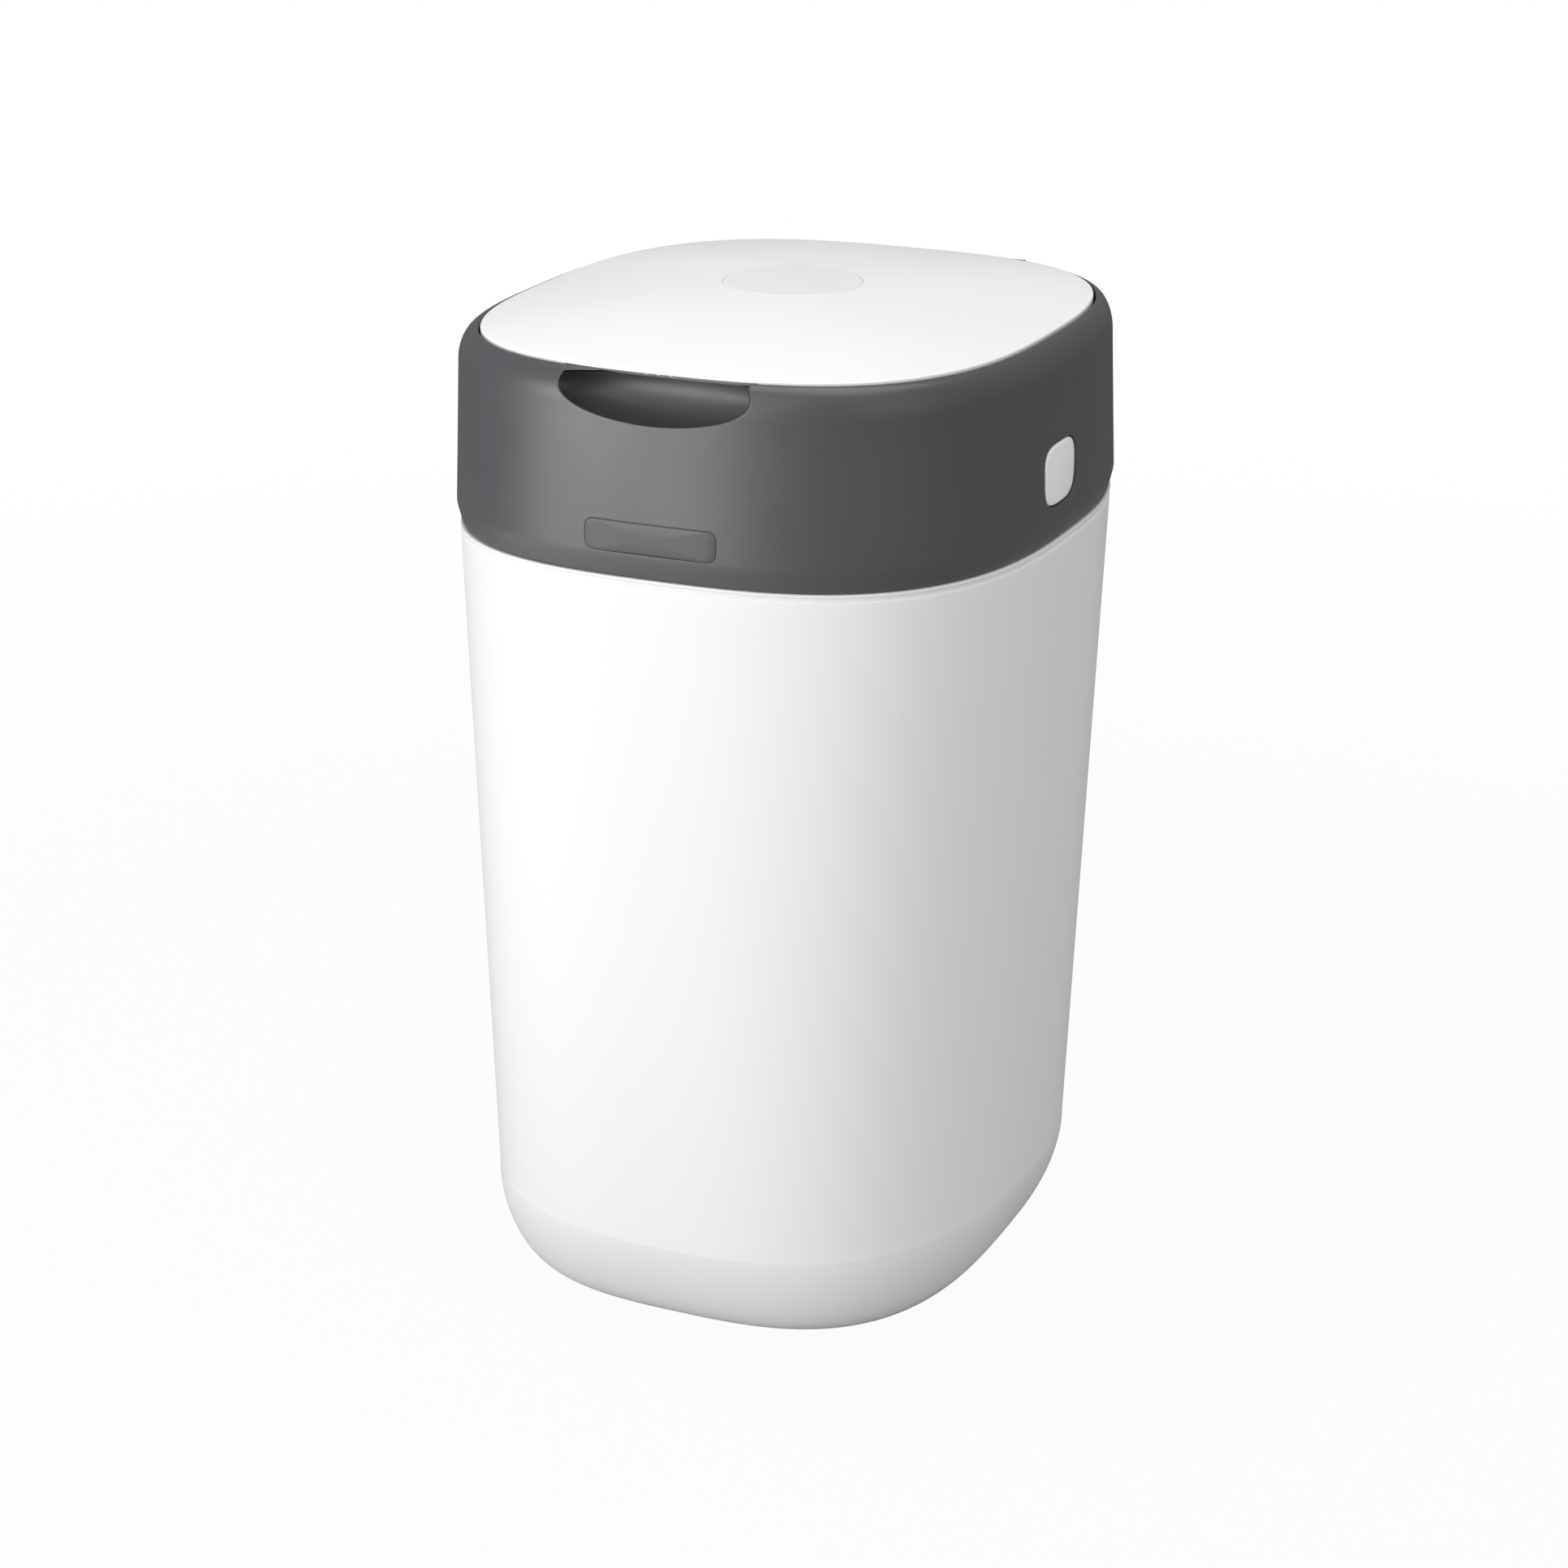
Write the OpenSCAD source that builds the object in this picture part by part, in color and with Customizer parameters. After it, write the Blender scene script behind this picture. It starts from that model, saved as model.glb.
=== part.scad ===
// Nappy bin: a tub, a tilting upper unit with a twisting film cassette, and a flush lid.
// Millimetres. The origin is on the floor under the middle of the tub's base.
// +Z is up, the finger scoop faces -Y and the release button faces +X.
// Every plan section is a superellipse |x/a|^n + |y/b|^n = 1, written [a, b, n, y of its centre].

/* [Tub] */
// Half width of the tub at its rim
rim_a = 129.4; // [116:0.1:142]
// Half depth of the tub at its rim
rim_b = 139.7; // [126:0.1:153]
// Half width of the tub at the crease above its base
band_a = 119.75; // [110:0.25:124]
// Half depth of the tub at the crease above its base
band_b = 134.8; // [125:0.1:138]
// Height of the crease where the walls turn into the base
band_z = 41.4; // [30:0.1:60]
// How squarely rounded the plan is at the crease
band_n = 2.54; // [2.2:0.02:3.2]
// How far the base curves in below the crease
base_inset = 22; // [12:0.5:28]
// Roundness of the base curve, 2 is a quarter ellipse
base_power = 1.57; // [1.2:0.01:2.4]
// How squarely rounded the plan is at the bottom
base_n = 2.92; // [2.4:0.02:3.4]
// Thickness of the tub wall
tub_wall = 2.6; // [2:0.1:3.4]
// Thickness of the tub floor
tub_floor = 3; // [2:0.1:5]
// Height of the bright bead that runs round the rim
bead_h = 1.2; // [0.8:0.1:2]
// Height of the groove below the bead
groove_h = 1.6; // [1:0.1:3]
// Depth of the groove below the bead
groove_d = 0.7; // [0.3:0.1:1.2]
// Height of the lip that locates the collar
spigot_h = 5.3; // [3:0.1:5.4]
// Thickness of the lip that locates the collar
spigot_wall = 2.4; // [1.6:0.1:3]

/* [Base ring] */
// How far inside the tub's bottom edge the rubber ring lies
foot_in = 7.75; // [4:0.25:20]
// Width of the rubber ring
foot_w = 9; // [5:0.5:14]
// How far the rubber ring stands below the tub
foot_drop = 1.2; // [0.8:0.1:3]
// Depth of the groove that holds the rubber ring
foot_pocket = 0.8; // [0.5:0.1:1.5]

/* [Collar] */
// Height of the collar's bottom edge
collar_z = 341; // [300:1:380]
// How far the collar's bottom edge lies inside the tub's rim
collar_step = 1; // [0.5:0.1:1.6]
// How squarely rounded the collar's plan is
collar_n = 2.79; // [2.5:0.01:3.1]
// How far the collar's middle lies behind the middle of the base
collar_y = 5.9; // [3:0.1:8]
// Height of the chamfer at the collar's bottom edge
chamfer_h = 9; // [5:0.5:9.5]
// Depth of the chamfer at the collar's bottom edge
chamfer_d = 2.2; // [1:0.1:3]
// Height of the wall from the bottom edge up to the rounded shoulder
collar_side_h = 69; // [66:0.5:74]
// Height of the rounded shoulder
shoulder_h = 14; // [12:0.5:16]
// Thickness of the collar wall
collar_wall = 2.6; // [2:0.1:3]
// Depth of the lip round the lid opening
lip_h = 4; // [3:0.5:6]

/* [Finger scoop] */
// Half width of the scoop
scoop_a = 50.5; // [40:0.5:54]
// Radius of the scoop's middle
scoop_r = 15.8; // [13:0.2:16.4]
// How far the scoop's middle lies behind the collar's front
scoop_in = 11.8; // [10:0.2:13]
// Height of the scoop's middle above the collar's bottom edge
scoop_up = 74; // [72:0.5:76]
// Thickness of the bowl's wall
scoop_wall = 2.2; // [1.6:0.1:2.4]

/* [Badge plate] */
// Half width of the bare plate on the front
badge_hw = 29.2; // [20:0.2:36]
// Half height of the plate
badge_hh = 6.4; // [5:0.1:7]
// Corner radius of the plate
badge_r = 3.6; // [1:0.1:5]
// Height of the plate's middle above the collar's bottom edge
badge_up = 17; // [16.5:0.5:30]
// Thickness of the plate
badge_t = 1.1; // [0.8:0.1:1.4]

/* [Lid] */
// Width of the collar's shoulder on each side of the lid
lid_border_a = 10; // [8:0.1:13]
// Mean width of the collar's shoulder before and behind the lid
lid_border_b = 6.5; // [5.6:0.1:8]
// How squarely rounded the lid's plan is
lid_n = 2.87; // [2.6:0.01:3.1]
// How far the lid's middle lies behind the collar's middle
lid_shift = 1.5; // [1:0.1:2]
// How far the lid's edge stands above the collar's opening
lid_proud = 1; // [0.5:0.1:2]
// How far the middle of the lid rises above its edge
lid_crown = 11; // [7:0.5:14]
// Thickness of the lid
lid_wall = 2.4; // [2:0.1:2.8]
// Depth of the lid's skirt
skirt_h = 6; // [5.5:0.1:6.4]
// Gap round the lid at the front and the sides
lid_gap = 1; // [0.6:0.1:1.2]
// Extra gap behind the lid, for its swing
lid_back_gap = 0.9; // [0.8:0.1:1.5]
// Radius of the round inlay on the lid
disc_r = 30; // [15:1:38]
// Half width of the relief under the lid's front edge, over the finger scoop
relief_hw = 46; // [36:0.5:52]
// How far the relief reaches in under the lid
relief_d = 14; // [8:0.5:16]
// Thickness of the lid's edge over the relief
edge_t = 1; // [0.8:0.1:2]
// How far the middle of the seal lies outside the deck's round hole
seal_out = 5.5; // [4:0.5:6]
// Width of the seal
seal_w = 4; // [3:0.5:5]

/* [Release button] */
// Place of the button's middle, front to back
button_y = -9.4; // [-20:0.2:5]
// Height of the button's middle above the collar's bottom edge
button_up = 28.9; // [26:0.1:36]
// Half width of the button
button_hw = 17.5; // [12:0.5:19]
// Half height of the button
button_hh = 13; // [9:0.5:14]
// Gap round the button
button_gap = 0.5; // [0.4:0.1:0.8]
// Squareness of the button's outline
button_n = 3.6; // [2.6:0.1:5]
// How far the button's face stands out of the collar
button_proud = 0.9; // [0.5:0.1:2]
// How far the button travels when it is pressed
button_travel = 4; // [2:0.5:4]
// Turns in the button's return spring
spring_turns = 4; // [3:0.5:5]

/* [Twist drum] */
// Inner radius of the film cassette, the throat that the nappy goes down
throat_r = 56; // [50:0.5:58]
// Room between the film cassette and the collar's side, for the button's works
side_room = 33.4; // [32:0.2:40]
// Room between the film cassette and the collar's front, for the finger scoop
front_room = 43.7; // [40:0.1:50]
// Height of the film cassette
cassette_h = 44; // [38:0.5:44]
// Wall of the film cassette
cassette_wall = 1.6; // [1.2:0.1:2]
// Wall of the turning tray round the cassette
tray_wall = 2; // [1.6:0.1:2.2]
// Number of click notches round the tray
notches = 48; // [24, 36, 48]
// Radius of the click pawl's nose
pawl_nose_r = 1.9; // [1.5:0.1:1.9]
// Number of finger grips on the twist ring
grips = 6; // [3:1:8]
// Height of the finger grips
grip_h = 7; // [4:0.5:8]
// Pleats in the packed film
pleats = 12; // [8:1:16]

/* [Throat and cutter] */
// Number of springy fingers under the throat
fingers = 8; // [6:1:10]
// Radius of the hole that the fingers leave open
finger_hole_r = 26; // [20:1:32]
// How far the fingers slope down
finger_drop = 12; // [8:0.5:13]
// Thickness of the fingers
finger_t = 1.2; // [0.8:0.1:1.6]
// How far the turning cutter ring reaches beyond its clamp's flange
cutter_lip = 8; // [5:0.5:10]
// Radius that the cutter blade reaches in to
blade_reach_r = 44; // [40:1:50]

/* [Hinges] */
// Radius of the pin between the tub and the upper unit
unit_pin_r = 2; // [1.5:0.1:2.5]
// How far the unit's hinge axis lies behind the collar's bottom edge
unit_axis_back = 7.4; // [7:0.1:10]
// Half length of the knuckle on the collar
unit_knuckle = 24.7; // [18:0.1:30]
// Radius of the lid's hinge pin
lid_pin_r = 1.5; // [1:0.1:1.7]
// How far the lid's hinge axis lies behind the lid's edge
lid_axis_back = 10.4; // [10:0.1:11]
// How far the lid's hinge axis lies below the lid's edge
lid_axis_drop = 6.5; // [6:0.1:7]
// Half width of the lid's hinge tongue
tongue_hw = 45.7; // [30:0.1:50]
// Width of a hinge ear
ear_w = 7; // [5:0.5:10]

/* [Clearances] */
// Gap between pieces that rest on each other and move apart
rest_gap = 0.3; // [0.2:0.05:0.4]
// Radial play of a pin in a turning knuckle
pin_play = 0.05; // [0.02:0.01:0.08]
// Radial gap between pieces that turn past each other
turn_gap = 0.6; // [0.4:0.05:0.8]

/* [Hidden] */

// Points round a swept shell, and facets of a round face
N = 64;
$fn = 96;

// Half sizes that follow from the tub's rim, and the places of the scoop and the lid
collar_a = rim_a - collar_step;
collar_b = rim_b - collar_step;
lid_a = collar_a - lid_border_a;
lid_b = collar_b - lid_border_b;
lid_y = collar_y + lid_shift;
scoop_y = collar_y - collar_b + scoop_in;
foot_r = min(band_a, band_b) - base_inset - foot_in;

// Levels, all worked up from the collar's bottom edge
rim_z = collar_z - rest_gap;
shoulder_z = collar_z + collar_side_h;
lip_z = shoulder_z + shoulder_h;
lid_z = lip_z + lid_proud;
skirt_z = lid_z - skirt_h;
cover_t = 2;
spigot_room = 0.5;
cover_z = rim_z + spigot_h + spigot_room;
floor_z = cover_z + cover_t;
deck_t = 2;
deck_z = shoulder_z;
deck_top = deck_z + deck_t;
liner_t = 2;
liner_gap = 0.4;
button_z = collar_z + button_up;
scoop_z = collar_z + scoop_up;
badge_z = collar_z + badge_up;

// Plan sections of the outside
rim = [rim_a, rim_b, collar_n, collar_y];
band = [band_a, band_b, band_n, 0];
collar = [collar_a, collar_b, collar_n, collar_y];
lid = [lid_a, lid_b, lid_n, lid_y];
opening = [lid_a + lid_gap, lid_b + lid_gap + lid_back_gap / 2, lid_n, lid_y + lid_back_gap / 2];

// Bottom of the tub, and the base curve's steps from the crease down
tub_bottom = foot_drop;
base_steps = [0, 0.13, 0.28, 0.44, 0.6, 0.74, 0.86, 1 - tub_bottom / band_z];

// Inside faces that other pieces follow
collar_in = inset(collar, collar_wall);
spigot = inset(collar_in, turn_gap);

// Turning parts, all about the vertical axis through the collar's middle
cassette_r = min(collar_a - side_room, collar_b - front_room);
tray_room = 2;
housing_in_r = cassette_r + 2 * turn_gap + tray_wall + tray_room;
housing_wall = 2.2;
housing_r = housing_in_r + housing_wall;
tray_r = housing_in_r - turn_gap;
deck_room = 2;
deck_hole_r = cassette_r + deck_room;
seal_r = deck_hole_r + seal_out;
floor_t = 2;
track_h = 1.2;
track_in = 13;
track_r = cassette_r - track_in;
track_w = 4;
tray_z = floor_z + floor_t + track_h + rest_gap;
cassette_z = tray_z + floor_t;
cassette_top = cassette_z + cassette_h;
cassette_cap_t = 2;
twist_z = cassette_top + cassette_cap_t;
twist_t = 2.5;
notch_zone_h = 11;
notch_depth = 1.2;
notch_r = pawl_nose_r + rest_gap;
notch_centre_r = tray_r - notch_depth + notch_r;

// Screws, the columns that take them and the ribs from the columns to the collar's corners
screw_r = 1.5;
screw_play = 0.05;
hole_play = 0.1;
screw_len = 11;
drill_len = 12;
head_r = 3;
head_h = 1.8;
column_r = 5;
column_in = 10.6;
column_rib_t = 2;
rib_bite = 0.9;
rib_reach = column_in * sqrt(2) + rib_bite;
corner_k = pow(0.5, 1 / collar_n);
column_x = collar_in[0] * corner_k - column_in;
column_dy = collar_in[1] * corner_k - column_in;
liner_screw_len = 6;
liner_screw_out = 7.85;
liner_screw_r = seal_r + liner_screw_out;
liner_screw_turn = 46.47;
liner_boss_r = 4;

// Hinge axes
unit_axis_y = collar_y + collar_b + unit_axis_back;
unit_axis_z = collar_z;
unit_knuckle_wall = 2.5;
unit_knuckle_r = unit_pin_r + unit_knuckle_wall;
lid_axis_y = lid_y + lid_b + lid_axis_back;
lid_axis_z = lid_z - lid_axis_drop;
lid_knuckle_wall = 1.5;
lid_knuckle_r = lid_pin_r + lid_knuckle_wall;
ear_gap = 0.3;
pin_fit = 0.02;
pin_short = 0.5;
unit_ear_drop = 26;
unit_web_h = 20;
lid_ear_in = 5.6;
notch_room = 0.6;
notch_in = 6;
notch_len = 20;

// Solid front of the lid, and the slope of the relief cut into it
lid_front = lid_y - lid_b;
relief_slope = (lid_z - edge_t - skirt_z) / relief_d;
relief_room = 0.4;
nose_hw = relief_hw + 2;
nose_d = relief_d + 2;
grip_rib_w = 1.2;
grip_rib_l = 10;

// Button stack, measured inwards from the collar's side
side_x = collar_a + chamfer_d * 0.45;
wall_in_x = collar_a - collar_wall;
button_face_x = side_x + button_proud;
flange_x = wall_in_x - 0.7;
flange_t = 2.3;
flange_w = 2.5;
dome_r = 150;
cap_wall = 2.5;
cap_t = 2.8;
cap_depth = 11.5;
cap_back_x = button_face_x - cap_depth;
hook_t = 2.8;
hook_x = cap_back_x - hook_t;
hook_w = 12;
hook_post_r = 2.4;
hook_post_y = 9.5;
hook_drill_r = 1.05;
hook_nose = 3;
guide_t = 2;
guide_play = 0.5;
guide_end_gap = 0.75;
guide_x = hook_x - button_travel - 6;
spring_r = 4.5;
wire_r = 0.5;
seat_h = 1;
keeper_x = hook_x + hook_t + rest_gap;
keeper_w = 24;
hook_bottom = collar_z - 6;

// Click pawl
pawl_z = tray_z + 1.5;
pawl_h = notch_zone_h - 4;
pawl_nose = [-notch_centre_r, collar_y];
pawl_axis = pawl_nose + [-7.9, 23.1];
pawl_boss_r = 4.5;
pawl_pin_r = 1.5;

// Cutter stack, measured out from the throat and down from the cover
finger_root_r = throat_r + 4;
finger_ring_r = finger_root_r + 16;
clamp_screw_r = finger_root_r + 11;
clamp_screw_count = 6;
clamp_r = finger_ring_r + 2;
flange_r = clamp_r + 8;
cutter_r = flange_r + cutter_lip;
clamp_z = cover_z - finger_t - 4.3;
clamp_flange_t = 3.5;
clamp_flange_z = clamp_z - clamp_flange_t;
cutter_z = clamp_z + rest_gap;
cutter_t = 3.6;
arm_z = clamp_flange_z - 5.5;
arm_t = 2.5;
arm_w = 10;
arm_end_r = blade_reach_r + 8;
blade_t = 0.8;
blade_len = 24;
tab_len = 9;
tab_w = 18;
tab_t = 3;
tab_drop = 8;

// Colours
white = "#f1f1f1";
slate = "#5d6065";
pale = "#dfe0e1";
steel = "#b9bcc0";

// Shape helpers

function spow(v, e) = sign(v) * pow(abs(v), e);
function mix(s, t, w) = s * (1 - w) + t * w;
function inset(s, d) = [s[0] - d, s[1] - d, s[2], s[3]];
function ring(s, z, k = 1) =
    [for (i = [0 : N - 1]) let (t = 360 * i / N)
        [k * s[0] * spow(cos(t), 2 / s[2]), s[3] + k * s[1] * spow(sin(t), 2 / s[2]), z]];
function outline(s) = [for (p = ring(s, 0)) [p[0], p[1]]];

// Rounded rectangle and superellipse outlines for flat profiles
function round_box(hw, hh, r, steps = 6) =
    [for (c = [[1, 1, 0], [-1, 1, 90], [-1, -1, 180], [1, -1, 270]], i = [0 : steps])
        let (t = c[2] + 90 * i / steps)
            [c[0] * (hw - r) + r * cos(t), c[1] * (hh - r) + r * sin(t)]];
function squircle(hw, hh, e, steps = 48) =
    [for (i = [0 : steps - 1]) let (t = 360 * i / steps)
        [hw * spow(cos(t), 2 / e), hh * spow(sin(t), 2 / e)]];

// Skin over a list of rings; a looped skin joins its last ring to its first
module skin(rings, looped = false) {
    count = len(rings);
    spans = looped ? count : count - 1;
    sides = [for (k = [0 : spans - 1], i = [0 : N - 1])
        let (j = (i + 1) % N, m = (k + 1) % count)
            each [[k * N + i, m * N + i, m * N + j], [k * N + i, m * N + j, k * N + j]]];
    caps = looped ? [] : [[for (i = [0 : N - 1]) i], [for (i = [N - 1 : -1 : 0]) (count - 1) * N + i]];
    polyhedron([for (r = rings) each r], concat(sides, caps), convexity = 8);
}

// Prism along X with its profile in the YZ plane
module along_x(x0, x1) {
    translate([x0, 0, 0]) rotate([90, 0, 90]) linear_extrude(x1 - x0) children();
}

module rod_x(r, hw, y, z) {
    translate([-hw, y, z]) rotate([0, 90, 0]) cylinder(r = r, h = 2 * hw);
}

module ring_solid(r_in, r_out, z, h) {
    translate([0, collar_y, z]) rotate_extrude() translate([r_in, 0]) square([r_out - r_in, h]);
}

module screw(x, y, z, length, up = 1) {
    translate([x, y, z]) mirror([0, 0, up > 0 ? 0 : 1]) {
        cylinder(r = screw_r, h = length);
        translate([0, 0, -head_h]) cylinder(r1 = head_r * 0.8, r2 = head_r, h = head_h);
    }
}

module at_columns() {
    for (sx = [-1, 1], sy = [-1, 1])
        translate([sx * column_x, collar_y + sy * column_dy, 0]) children();
}

// Tub

function tub_section(z) = z >= band_z
    ? mix(band, rim, (z - band_z) / (rim_z - band_z))
    : let (t = 1 - z / band_z)
        inset([band[0], band[1], mix(band_n, base_n, t), 0],
              base_inset * (1 - pow(1 - pow(t, base_power), 1 / base_power)));

function tub_outside() = concat(
    [for (i = [len(base_steps) - 1 : -1 : 0])
        let (z = band_z * (1 - base_steps[i])) ring(tub_section(z), z)],
    [for (w = [0.35, 0.7]) let (z = band_z + w * (rim_z - band_z)) ring(tub_section(z), z)],
    [ring(tub_section(rim_z - bead_h - groove_h - groove_d), rim_z - bead_h - groove_h - groove_d),
     ring(inset(rim, groove_d), rim_z - bead_h - groove_h),
     ring(inset(rim, groove_d), rim_z - bead_h - 0.2),
     ring(rim, rim_z - bead_h),
     ring(rim, rim_z - 0.3),
     ring(inset(rim, 0.3), rim_z)]);

function tub_inside() = concat(
    [ring(spigot, rim_z),
     ring(spigot, rim_z + spigot_h - 0.5),
     ring(inset(spigot, 0.4), rim_z + spigot_h),
     ring(inset(spigot, spigot_wall), rim_z + spigot_h),
     ring(inset(spigot, spigot_wall), rim_z - bead_h - groove_h - 1),
     ring(inset(rim, tub_wall + 0.3), rim_z - bead_h - groove_h - 7)],
    [for (w = [0.6, 0.25, 0])
        let (z = band_z + w * (rim_z - band_z)) ring(inset(tub_section(z), tub_wall), z)],
    [for (i = [1 : len(base_steps) - 1])
        let (z = band_z * (1 - base_steps[i]), f = tub_bottom + tub_floor,
             zi = f + (z - tub_bottom) * (band_z - f) / (band_z - tub_bottom))
            ring(inset(tub_section(z), tub_wall), zi)]);

module unit_ear(x0, x1) {
    along_x(x0, x1) difference() {
        union() {
            translate([unit_axis_y, unit_axis_z]) circle(r = unit_knuckle_r);
            polygon([[unit_axis_y, unit_axis_z - unit_knuckle_r],
                     [unit_axis_y + unit_knuckle_r, unit_axis_z],
                     [unit_axis_y + unit_knuckle_r, unit_axis_z - 4],
                     [collar_y + rim_b - tub_wall, unit_axis_z - unit_ear_drop],
                     [collar_y + rim_b - tub_wall, unit_axis_z - 8],
                     [unit_axis_y - unit_knuckle_r, unit_axis_z - 5],
                     [unit_axis_y - unit_knuckle_r, unit_axis_z]]);
        }
        translate([unit_axis_y, unit_axis_z]) circle(r = unit_pin_r + pin_fit);
    }
}

module tub_shell() {
    color(white) {
        difference() {
            skin(concat(tub_outside(), tub_inside()));
            // Groove for the rubber ring
            translate([0, 0, tub_bottom - 1]) rotate_extrude()
                translate([foot_r - foot_w, 0]) square([foot_w, foot_pocket + 1]);
        }
        // Keeper ledge that the latch hook stands beside
        translate([keeper_x, button_y - keeper_w / 2, rim_z - 4])
            cube([spigot[0] - 1 - keeper_x, keeper_w, 2.5]);
        for (s = [0, 1]) mirror([s, 0, 0])
            unit_ear(unit_knuckle + ear_gap, unit_knuckle + ear_gap + ear_w);
    }
}

module base_ring() {
    color("#4a4a4a") rotate_extrude() translate([foot_r - foot_w, 0])
        polygon([[0.8, 0], [foot_w - 0.8, 0], [foot_w, 0.8], [foot_w, foot_drop + foot_pocket],
                 [0, foot_drop + foot_pocket], [0, 0.8]]);
}

module unit_hinge_pin() {
    color(steel) rod_x(unit_pin_r, unit_knuckle + ear_gap + ear_w - pin_short, unit_axis_y, unit_axis_z);
}

// Collar

function collar_outside(off) = concat(
    [ring(inset(collar, -off), collar_z),
     ring(inset(collar, -chamfer_d - off), collar_z + chamfer_h),
     ring(inset(collar, -chamfer_d / 2 - off), collar_z + collar_side_h * 0.55)],
    [for (f = [0 : 18 : 90])
        ring(inset(mix(collar, opening, 1 - cos(f)), -off * cos(f)),
             shoulder_z + shoulder_h * sin(f) + off * sin(f))]);

function collar_inside() =
    [ring(opening, lip_z - lip_h),
     ring(inset(collar_in, 0.2), deck_top + 0.5),
     ring(inset(collar_in, -chamfer_d + 0.2), collar_z + chamfer_h),
     ring(collar_in, cover_z + cover_t / 2),
     ring(collar_in, collar_z)];

// Spindle of the scoop, turned about a line across the bin
module scoop_form(grow) {
    translate([0, scoop_y, scoop_z]) rotate([0, 90, 0]) rotate_extrude()
        polygon([for (i = [0 : 14]) let (t = 90 - 180 * i / 14)
            [(scoop_r + grow) * cos(t), (scoop_a + grow) * sin(t)]]);
}

// Wall round the scoop, kept below the lid inside the opening
module scoop_bowl() {
    difference() {
        intersection() {
            skin(collar_outside(-0.4));
            scoop_form(scoop_wall);
        }
        translate([0, 0, skirt_z - 2 * rest_gap]) linear_extrude(30)
            polygon(outline(inset(opening, 0.1)));
    }
}

module badge_prism(grow) {
    translate([0, collar_y - collar_b + 12, badge_z]) rotate([90, 0, 0])
        linear_extrude(20) polygon(round_box(badge_hw + grow, badge_hh + grow, badge_r + grow));
}

module button_prism(hw, hh, x0, x1) {
    translate([0, button_y, button_z]) along_x(x0, x1) polygon(squircle(hw, hh, button_n));
}

module lid_ear(x0, x1) {
    along_x(x0, x1) difference() {
        union() {
            translate([lid_axis_y, lid_axis_z]) circle(r = lid_knuckle_r);
            polygon([[lid_axis_y, lid_axis_z - lid_knuckle_r],
                     [lid_axis_y, lid_axis_z + lid_knuckle_r],
                     [collar_y + collar_b - lid_ear_in - 0.1, lid_axis_z - 0.7],
                     [collar_y + collar_b - lid_ear_in + 0.1, shoulder_z - 8]]);
        }
        translate([lid_axis_y, lid_axis_z]) circle(r = lid_pin_r + pin_fit);
    }
}

module collar_knuckle() {
    along_x(-unit_knuckle, unit_knuckle) difference() {
        union() {
            translate([unit_axis_y, unit_axis_z]) circle(r = unit_knuckle_r);
            polygon([[unit_axis_y, unit_axis_z + unit_knuckle_r],
                     [unit_axis_y - unit_knuckle_r * 0.8, unit_axis_z],
                     [unit_axis_y - unit_knuckle_r, unit_axis_z + 1.2],
                     [collar_y + collar_b - collar_wall / 2, collar_z + 1.2],
                     [collar_y + collar_b - collar_wall / 2, collar_z + unit_web_h]]);
        }
        translate([unit_axis_y, unit_axis_z]) circle(r = unit_pin_r + pin_play);
    }
}

module collar_shell() {
    color(slate) {
        difference() {
            union() {
                skin(concat(collar_outside(0), collar_inside()), looped = true);
                scoop_bowl();
                at_columns() translate([0, 0, floor_z]) cylinder(r = column_r, h = deck_z - floor_z);
                // Ribs from the screw columns to the wall
                for (sx = [0, 1], sy = [-1, 1])
                    mirror([sx, 0, 0]) translate([column_x, collar_y + sy * column_dy, 0])
                        rotate(45 * sy) translate([0, column_rib_t / 2, 0]) rotate([90, 0, 0])
                            linear_extrude(column_rib_t) polygon([
                                [0, floor_z], [rib_reach + chamfer_d + 0.2, floor_z],
                                [rib_reach, deck_z], [0, deck_z]]);
            }
            scoop_form(0);
            // Notch at the back for the lid's hinge tongue
            translate([-tongue_hw - ear_gap, lid_y + lid_b - notch_in,
                       lid_axis_z - lid_knuckle_r - notch_room])
                cube([2 * (tongue_hw + ear_gap), notch_len, notch_len]);
            // Button hole
            button_prism(button_hw + button_gap, button_hh + button_gap, wall_in_x - 6, side_x + 6);
            // Badge recess
            difference() {
                badge_prism(0.15);
                skin(collar_outside(-badge_t + 0.2));
            }
            // Screw holes
            at_columns() {
                translate([0, 0, floor_z - 1]) cylinder(r = screw_r + screw_play, h = drill_len + 1);
                translate([0, 0, deck_z - drill_len]) cylinder(r = screw_r + screw_play, h = drill_len + 1);
            }
        }
        collar_knuckle();
        for (s = [0, 1]) mirror([s, 0, 0])
            lid_ear(tongue_hw + ear_gap + 0.1, tongue_hw + ear_gap + ear_w);
    }
}

module badge_plate() {
    color("#66696e") difference() {
        intersection() {
            badge_prism(0);
            skin(collar_outside(0.2));
        }
        skin(collar_outside(-badge_t + 0.2));
    }
}

module inner_deck() {
    color("#6d7075") difference() {
        translate([0, 0, deck_z]) linear_extrude(deck_t) difference() {
            polygon(outline(inset(collar_in, 1.6)));
            translate([0, collar_y]) circle(r = deck_hole_r);
            // Clear of the scoop's bowl
            translate([0, scoop_y])
                polygon([for (i = [0 : 47]) [(scoop_a + scoop_wall + 0.6) * cos(i * 7.5),
                                             (scoop_r + scoop_wall + 0.6) * sin(i * 7.5)]]);
            translate([-scoop_a * 0.9, scoop_y - 30]) square([scoop_a * 1.8, 30]);
        }
        at_columns() translate([0, 0, deck_z - 1]) cylinder(r = screw_r + hole_play, h = deck_t + 2);
    }
}

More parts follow.
